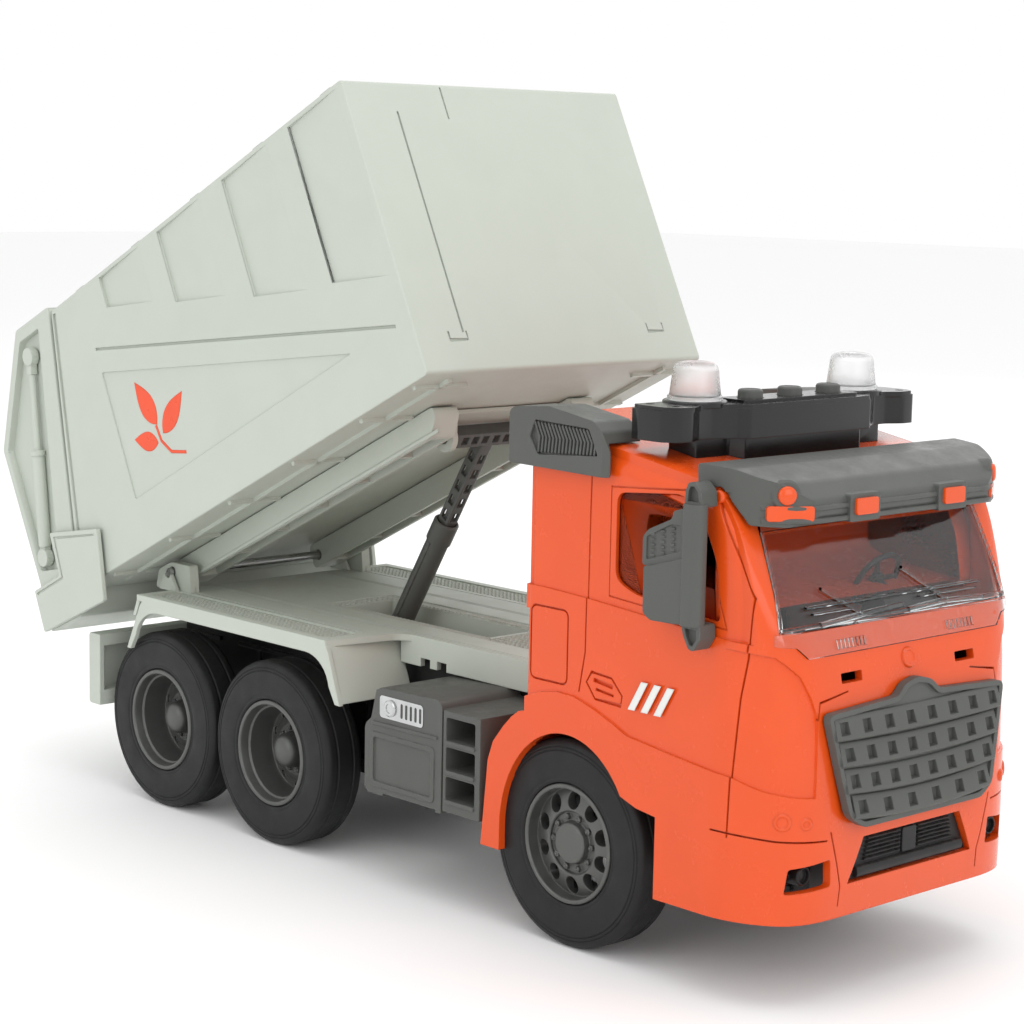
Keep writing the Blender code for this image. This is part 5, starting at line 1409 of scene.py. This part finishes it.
for side in SIDES.values():
    for rear, low in LOUVRES:
        points = [(rear, side * (BODY_HALF - 1.15)), (rear, side * (BODY_HALF + 2)),
                  (rear + 27, side * (BODY_HALF + 2)), (rear + 27, side * (BODY_HALF - 0.02))]
        wedge = prism(points, low, BODY_TOP - 1.6)
        for vert in wedge.verts:
            if vert.co.z < low + 1 and vert.co.x > rear + 1:
                vert.co.z -= 9.0
        carve(body, moved(wedge, tipped()))
    reach = span(side, BODY_HALF - 0.75, BODY_HALF + 3)
    carve(body, moved(strip([(171.5, 23.6), (16.9, 79.1)], 0.9, *reach), upright(tipped())))
    triangle = soft_corners([(16.8, 23.0), (16.8, 70.4), (148.2, 24.2)], 1.2)
    carve(body, flank(triangle, side, BODY_HALF - 0.45, BODY_HALF + 3, tipped()))
    carve(body, moved(strip([(SEAM_FOOT + 3.2, BODY_FLOOR), (BODY_SEAM + 1.6, BODY_TOP - 1.6)], 2.0,
                            *span(side, BODY_HALF - 0.9, BODY_HALF + 3)), upright(tipped())))
front_lines = []
for side in SIDES.values():
    front_lines.append(strip([(side * 43.0 - 3.6, 18.4), (side * 43.0 - 3.6, 15.6),
                              (side * 43.0 + 3.6, 15.6), (side * 43.0 + 3.6, 18.4)], 0.7, BODY_FRONT - 0.7,
                             BODY_FRONT + 4))
front_lines.append(strip([(-40.6, 18.0), (-40.6, 92.0)], 0.7, BODY_FRONT - 0.75, BODY_FRONT + 4))
front_lines.append(strip([(-20.0, 90.0), (-20.0, 101.0)], 0.6, BODY_FRONT - 0.6, BODY_FRONT + 4))
for line in front_lines:
    carve(body, moved(line, facing(tipped())), crossing=True)
RIB_LOW, RIB_TOP, RIB_REACH = BODY_FLOOR - 1.2, BODY_FLOOR + 0.4, BODY_HALF - 2.5
under_ribs = []
for low, high in ((-RIB_REACH, -36.4), (36.4, RIB_REACH)):
    for x in (-12.0, 26.0, 64.0, 102.0, 140.0, 168.0):
        under_ribs.append(block((x, low, RIB_LOW), (x + 1.6, high, RIB_TOP), tipped()))
for side in SIDES.values():
    under_ribs.append(block((-20.0, side * 47.0 - 0.8, RIB_LOW), (174.0, side * 47.0 + 0.8, RIB_TOP),
                            tipped()))
attach(body, under_ribs)
polish(body, 30)
finished(body, pale_grey, "tipping_body", "pale_grey_plastic", "body_shell")

RAIL_TOP, RAIL_LOW = BODY_FLOOR - 0.4, BODY_FLOOR - 9.2
for side_name, side in SIDES.items():
    path = soft_corners([(-4.0, RAIL_TOP), (150.0, RAIL_TOP), (150.0, RAIL_LOW + 5.4), (145.0, RAIL_LOW),
                         (-4.0, RAIL_LOW)],
                        1.8)
    rail = solid("body_rail_moulding_" + side_name, prism(path, *span(side, 25.0, 35.0)), upright(tipped()))
    carve(rail, block((6.0, side * 30.0 - 3.4, RAIL_LOW - 1), (143.0, side * 30.0 + 3.4, RAIL_TOP - 2.6),
                      tipped()))
    webs = [block((x, side * 30.0 - 3.6, RAIL_LOW + 0.6), (x + 1.2, side * 30.0 + 3.6, RAIL_TOP - 2.2),
                  tipped())
            for x in (28.0, 52.0, 76.0, 100.0, 124.0)]
    lip = flank([(-3.0, RAIL_LOW + 1.5), (149.6, RAIL_LOW + 1.5), (149.6, RAIL_LOW + 0.3),
                 (-3.0, RAIL_LOW + 0.3)], side, 34.8, 35.4, tipped())
    attach(rail, webs + [lip])
    carve(rail, moved(disc(1.9, -60, 60, 28), upright(tipped())), crossing=True)
    polish(rail, 30)
    finished(rail, pale_grey, "tipping_body", "pale_grey_plastic", "body_rail_" + side_name)

EAR_X, EAR_Z = 132.8, -0.6
bracket = solid("prop_bracket", prism(rounded((EAR_X - 10, -24.6), (EAR_X + 12, 24.6), 1.4), RAIL_TOP - 1.4,
                                      RAIL_TOP),
                tipped())
for side in SIDES.values():
    ear = [(-7.0, RAIL_TOP - 0.6 - EAR_Z), (7.0, RAIL_TOP - 0.6 - EAR_Z)] + arc((0, 0), 4.6, 0, -180, 18)
    carve(bracket, flank(ear, side, 16.4, 18.6, tipped(EAR_X, 0, EAR_Z)), "UNION")
    gusset = [(-5.0, 4.6), (5.0, 4.6), (0.6, 2.2), (-0.6, 2.2)]
    carve(bracket, flank(gusset, side, 18.4, 22.6, tipped(EAR_X, 0, EAR_Z - 0.1)), "UNION")
carve(bracket, moved(disc(2.0, -22, 22, 28), upright(tipped(EAR_X, 0, EAR_Z))))
polish(bracket, 30)
finished(bracket, pale_grey, "tipping_body", "pale_grey_plastic", "strut_bracket")

# Body sticker: a printed orange vinyl sprig of three plain leaves on a stem, stuck in the sunken
# triangle of each side. Door flash: three slanted white stripes of the same vinyl on each door.
leaf_print = moulded("leaf_vinyl", (0.78, 0.085, 0.03), 0.3, grain=0.5, bump=0.01, dust=0.05)
stripe_print = moulded("stripe_vinyl", (0.72, 0.73, 0.7), 0.3, grain=0.5, bump=0.01, dust=0.05)


def leaf(foot, tip, width):
    """Outline of a pointed leaf from its foot to its tip."""
    start, end = Vector(foot), Vector(tip)
    across = Vector((-(end - start).y, (end - start).x)).normalized() * width
    one, two = [], []
    for step in range(1, 12):
        share = step / 12
        belly = math.sin(math.pi * share ** 0.8)
        one.append(tuple(start.lerp(end, share) + across * belly))
        two.append(tuple(start.lerp(end, share) - across * belly))
    return [tuple(start)] + one + [tuple(end)] + list(reversed(two))


for side_name, side in SIDES.items():
    layers = [prism(leaf(foot, tip, width), *span(side, BODY_HALF - 0.45, BODY_HALF - 0.35))
              for foot, tip, width in (((40.0, 42.0), (33.5, 60.0), 4.2), ((42.0, 38.0), (58.5, 47.0), 4.0),
                                       ((38.0, 36.0), (25.0, 42.0), 3.4))]
    layers.append(strip([(52.0, 27.5), (44.0, 30.6), (40.0, 36.0), (39.2, 42.0)], 1.1,
                        *span(side, BODY_HALF - 0.45, BODY_HALF - 0.34)))
    sticker = solid("body_sticker_" + side_name, together(layers), upright(tipped()))
    polish(sticker, 30)
    finished(sticker, leaf_print, "tipping_body", "orange_plastic")
    stripes = [prism([(x, 76.0), (x + 2.6, 76.0), (x + 7.6, 84.6), (x + 5.0, 84.6)],
                     *span(side, CAB_HALF, CAB_HALF + 0.1)) for x in (26.0, 31.0, 36.0)]
    flash = solid("door_flash_" + side_name, together(stripes), upright(truck()))
    polish(flash, 30)
    finished(flash, stripe_print, "truck", "pale_grey_plastic")

# Tailgate: pale grey shell hung from a steel pin on the roof's rear edge. Each side has a sunken
# field with a moulded ram in two diameters between screwed eyes, and a corner plate that laps the
# body. The back has stiffening ribs, two sunken panels of upright ribs and three ribs along its foot.
gate_edge = soft_corners([(BODY_SEAM - 0.6, 104.4), (-28.4, 104.9), (-56.6, 68.4), (-54.8, 16.0),
                          (-55.3, -3.0), (SEAM_FOOT - 3.0, -3.8), (SEAM_FOOT - 0.6, BODY_FLOOR)], 1.2)
GATE_HALF = BODY_HALF + 0.6
gate = solid("tail_gate", prism(gate_edge, -GATE_HALF, GATE_HALF), upright(tipped()))
polish(gate, 30, edge=0.6)
settle(gate)
carve(gate, moved(prism([(5.0, 7.4), (5.0, 101.9), (-27.0, 101.9), (-54.0, 67.4), (-52.4, 17.0),
                         (-52.8, -0.6), (SEAM_FOOT - 5.4, -1.2), (SEAM_FOOT - 3.0, 7.4)], -55.4, 55.4),
                  upright(tipped())))
gate_axis = upright(tipped(-4.3, 0, 104.0))
field = soft_corners([(-13.7, 99.8), (-27.6, 100.0), (-53.4, 67.0), (-51.8, 19.4), (-40.0, 16.4)], 1.0)
for side in SIDES.values():
    carve(gate, flank(field, side, BODY_HALF - 2.0, BODY_HALF + 5, tipped()))
    ends = sorted((side * 23.6, side * 36.6))
    carve(gate, moved(disc(2.9, -ends[1], -ends[0], 32), gate_axis))
carve(gate, moved(disc(2.4, -23.2, 23.2, 32), gate_axis), "UNION")
carve(gate, moved(disc(1.35, -60, 60, 24), gate_axis))
for y0, y1 in ((-52.0, -4.0), (4.0, 52.0)):
    shape = prism(rounded((y0, 20.0), (y1, 64.0), 3.0), -70.0, -55.0)
    guide = solid("panel", moved(shape, facing(tipped())))
    carve(guide, moved(prism([(-54.75, 10.0), (-56.5, 70.0), (0.0, 70.0), (0.0, 10.0)], -70, 70),
                       upright(tipped(0.55, 0, 0))))
    carve(gate, released(guide))
tail_ribs = []
for y in (-40.0, -28.0, -16.0, 16.0, 28.0, 40.0):
    tail_ribs.append(moved(prism([(-55.3, 22.0), (-54.2, 22.0), (-55.8, 62.0), (-56.9, 62.0)], -y - 1.0,
                                 -y + 1.0),
                           upright(tipped())))
for low, high in ((0.6, 2.4), (6.0, 7.6), (11.0, 12.6)):
    tail_ribs.append(moved(prism([(-55.9, low), (-54.8, low), (-54.8, high), (-55.8, high)], -50, 50),
                           upright(tipped())))
for side in SIDES.values():
    slope = [(-31.4, 101.4), (-53.2, 73.2), (-54.1, 73.9), (-32.4, 102.1)]
    for y in (14.0, 44.0):
        tail_ribs.append(moved(prism(slope, -side * y - 1.2, -side * y + 1.2), upright(tipped())))
attach(gate, tail_ribs)
polish(gate, 30)
finished(gate, pale_grey, "tailgate", "pale_grey_plastic", "tailgate")

eye_top, eye_foot = Vector((-23.7, 92.7)), Vector((-47.4, 23.2))
ram_line = eye_top - eye_foot
ram_lean = Matrix.Rotation(math.atan2(ram_line.x, ram_line.y), 4, "Y")
half_ram = ram_line.length / 2
for side_name, side in SIDES.items():
    centre = tipped((eye_top.x + eye_foot.x) / 2, side * BODY_HALF, (eye_top.y + eye_foot.y) / 2) @ ram_lean
    barrel = [(0, 4 - half_ram), (2.0, 4 - half_ram), (2.3, 4.6 - half_ram), (2.3, 0.4), (2.7, 0.6),
              (2.7, 2.2), (2.2, 2.6), (1.25, 2.7), (1.25, half_ram - 3), (0, half_ram - 3)]
    ram = solid("gate_ram_" + side_name, lathe(barrel, 32, closed=False), centre)
    eyes = []
    for end in (-1, 1):
        eye = upright(Matrix.Translation((0, 0, end * half_ram)))
        outward = eye @ Matrix.Rotation(math.pi if side < 0 else 0, 4, "X")
        profile = [(0, -1.6), (3.3, -1.6), (3.3, 1.2), (2.9, 1.6), (1.9, 1.6), (1.7, 1.1), (0, 1.1)]
        eyes.append(moved(lathe(profile, 36, closed=False), outward))
        screw_head = lathe([(0, 0.9), (1.2, 0.9), (1.2, 1.5), (0.9, 1.8), (0, 1.8)], 20, closed=False)
        eyes.append(moved(screw_head, outward))
        low, high = sorted((end * (half_ram - 1.0), end * (half_ram - 6.5)))
        eyes.append(box((-1.5, -1.3, low), (1.5, 1.3, high)))
    append_shapes(ram, eyes)
    polish(ram, 35)
    finished(ram, pale_grey, "tailgate", "pale_grey_plastic", "tailgate_ram_" + side_name)

    plate = soft_corners([(-37.0, 29.4), (-7.0, 20.6), (-14.2, -4.0), (-56.6, -2.4), (-56.2, 13.4),
                          (-37.8, 13.4)], 0.8)
    corner_plate = solid("gate_plate_" + side_name,
                         prism(plate, *span(side, GATE_HALF + 0.4, BODY_HALF + 2.8)), upright(tipped()))
    polish(corner_plate, 30, edge=0.35)
    settle(corner_plate)
    edging = soft_corners([(-35.2, 27.2), (-9.6, 19.6), (-9.6, 19.0), (-34.0, 26.0), (-35.6, 11.4),
                           (-54.8, 11.4), (-54.8, 12.2), (-36.4, 12.2)], 0.2, 2)
    carve(corner_plate, flank(edging, side, BODY_HALF + 2.3, BODY_HALF + 6, tipped()))
    polish(corner_plate, 30)
    finished(corner_plate, pale_grey, "tailgate", "pale_grey_plastic", "tailgate_clamp_" + side_name)

# Prop: dark grey telescopic strut. The tube stands on a round foot in the deck well; the square rod
# inside it has a row of holes on each face and a perforated cross head in the body's ears.
prop_top = tipped(EAR_X, 0, EAR_Z).translation
prop_foot = truck(-142.6, 0, 63.9).translation
prop_line = prop_top - prop_foot
along = Matrix.Translation(prop_foot) @ Matrix.Rotation(math.atan2(prop_line.x, prop_line.z), 4, "Y")
reach = prop_line.length
tube = [(0, -2.8), (3.4, -2.8), (4.4, -1.6), (4.4, 2.0), (3.9, 2.6), (3.9, 42.0), (4.4, 42.8), (4.4, 50.4),
        (3.9, 51.0), (3.6, 51.0), (3.5, 50.4), (3.5, 4.0), (0, 4.0)]
sleeve = solid("prop_tube", lathe(tube, 48, closed=False), along)
wings = [box((-0.7, -4.3, 2.0), (0.7, -3.7, 42.4)), box((-0.7, 3.7, 2.0), (0.7, 4.3, 42.4)),
         moved(disc(1.7, -6.4, 6.4, 24), upright(Matrix()))]
append_shapes(sleeve, wings)
polish(sleeve, 32)
finished(sleeve, dark_grey, "strut_sleeve", "dark_grey_plastic", "strut_sleeve")

HALF_ROD = 2.4
rod = solid("prop_rod", prism(rounded((-HALF_ROD, -HALF_ROD), (HALF_ROD, HALF_ROD), 0.4, 2), reach - 52.0,
                              reach), along)
carve(rod, moved(prism(rounded((-2.6, -15.6), (2.6, 15.6), 0.5, 2), -2.6, 2.6),
                 along @ Matrix.Translation((0, 0, reach))),
      "UNION")
carve(rod, moved(disc(1.6, -19.4, 19.4, 28, 0.3), upright(along @ Matrix.Translation((0, 0, reach)))),
      "UNION")
pockets = []
for index in range(7):
    z = reach - 47.0 + 6.1 * index
    for face in (-1, 1):
        low, high = sorted((face * 1.2, face * 4.0))
        pockets.append(moved(box((low, -1.35, z), (high, 1.35, z + 3.6)), along))
        pockets.append(moved(box((-1.35, low, z), (1.35, high, z + 3.6)), along))
for y in (-12.6, -8.2, -3.8, 1.0, 5.6, 10.0):
    for face in (-1, 1):
        low, high = sorted((face * 1.3, face * 4.0))
        pockets.append(moved(box((low, y, reach - 1.5), (high, y + 2.8, reach + 1.5)), along))
carve(rod, together(pockets), crossing=True)
polish(rod, 30)
finished(rod, dark_grey, "strut_rod", "dark_grey_plastic", "strut_rod")
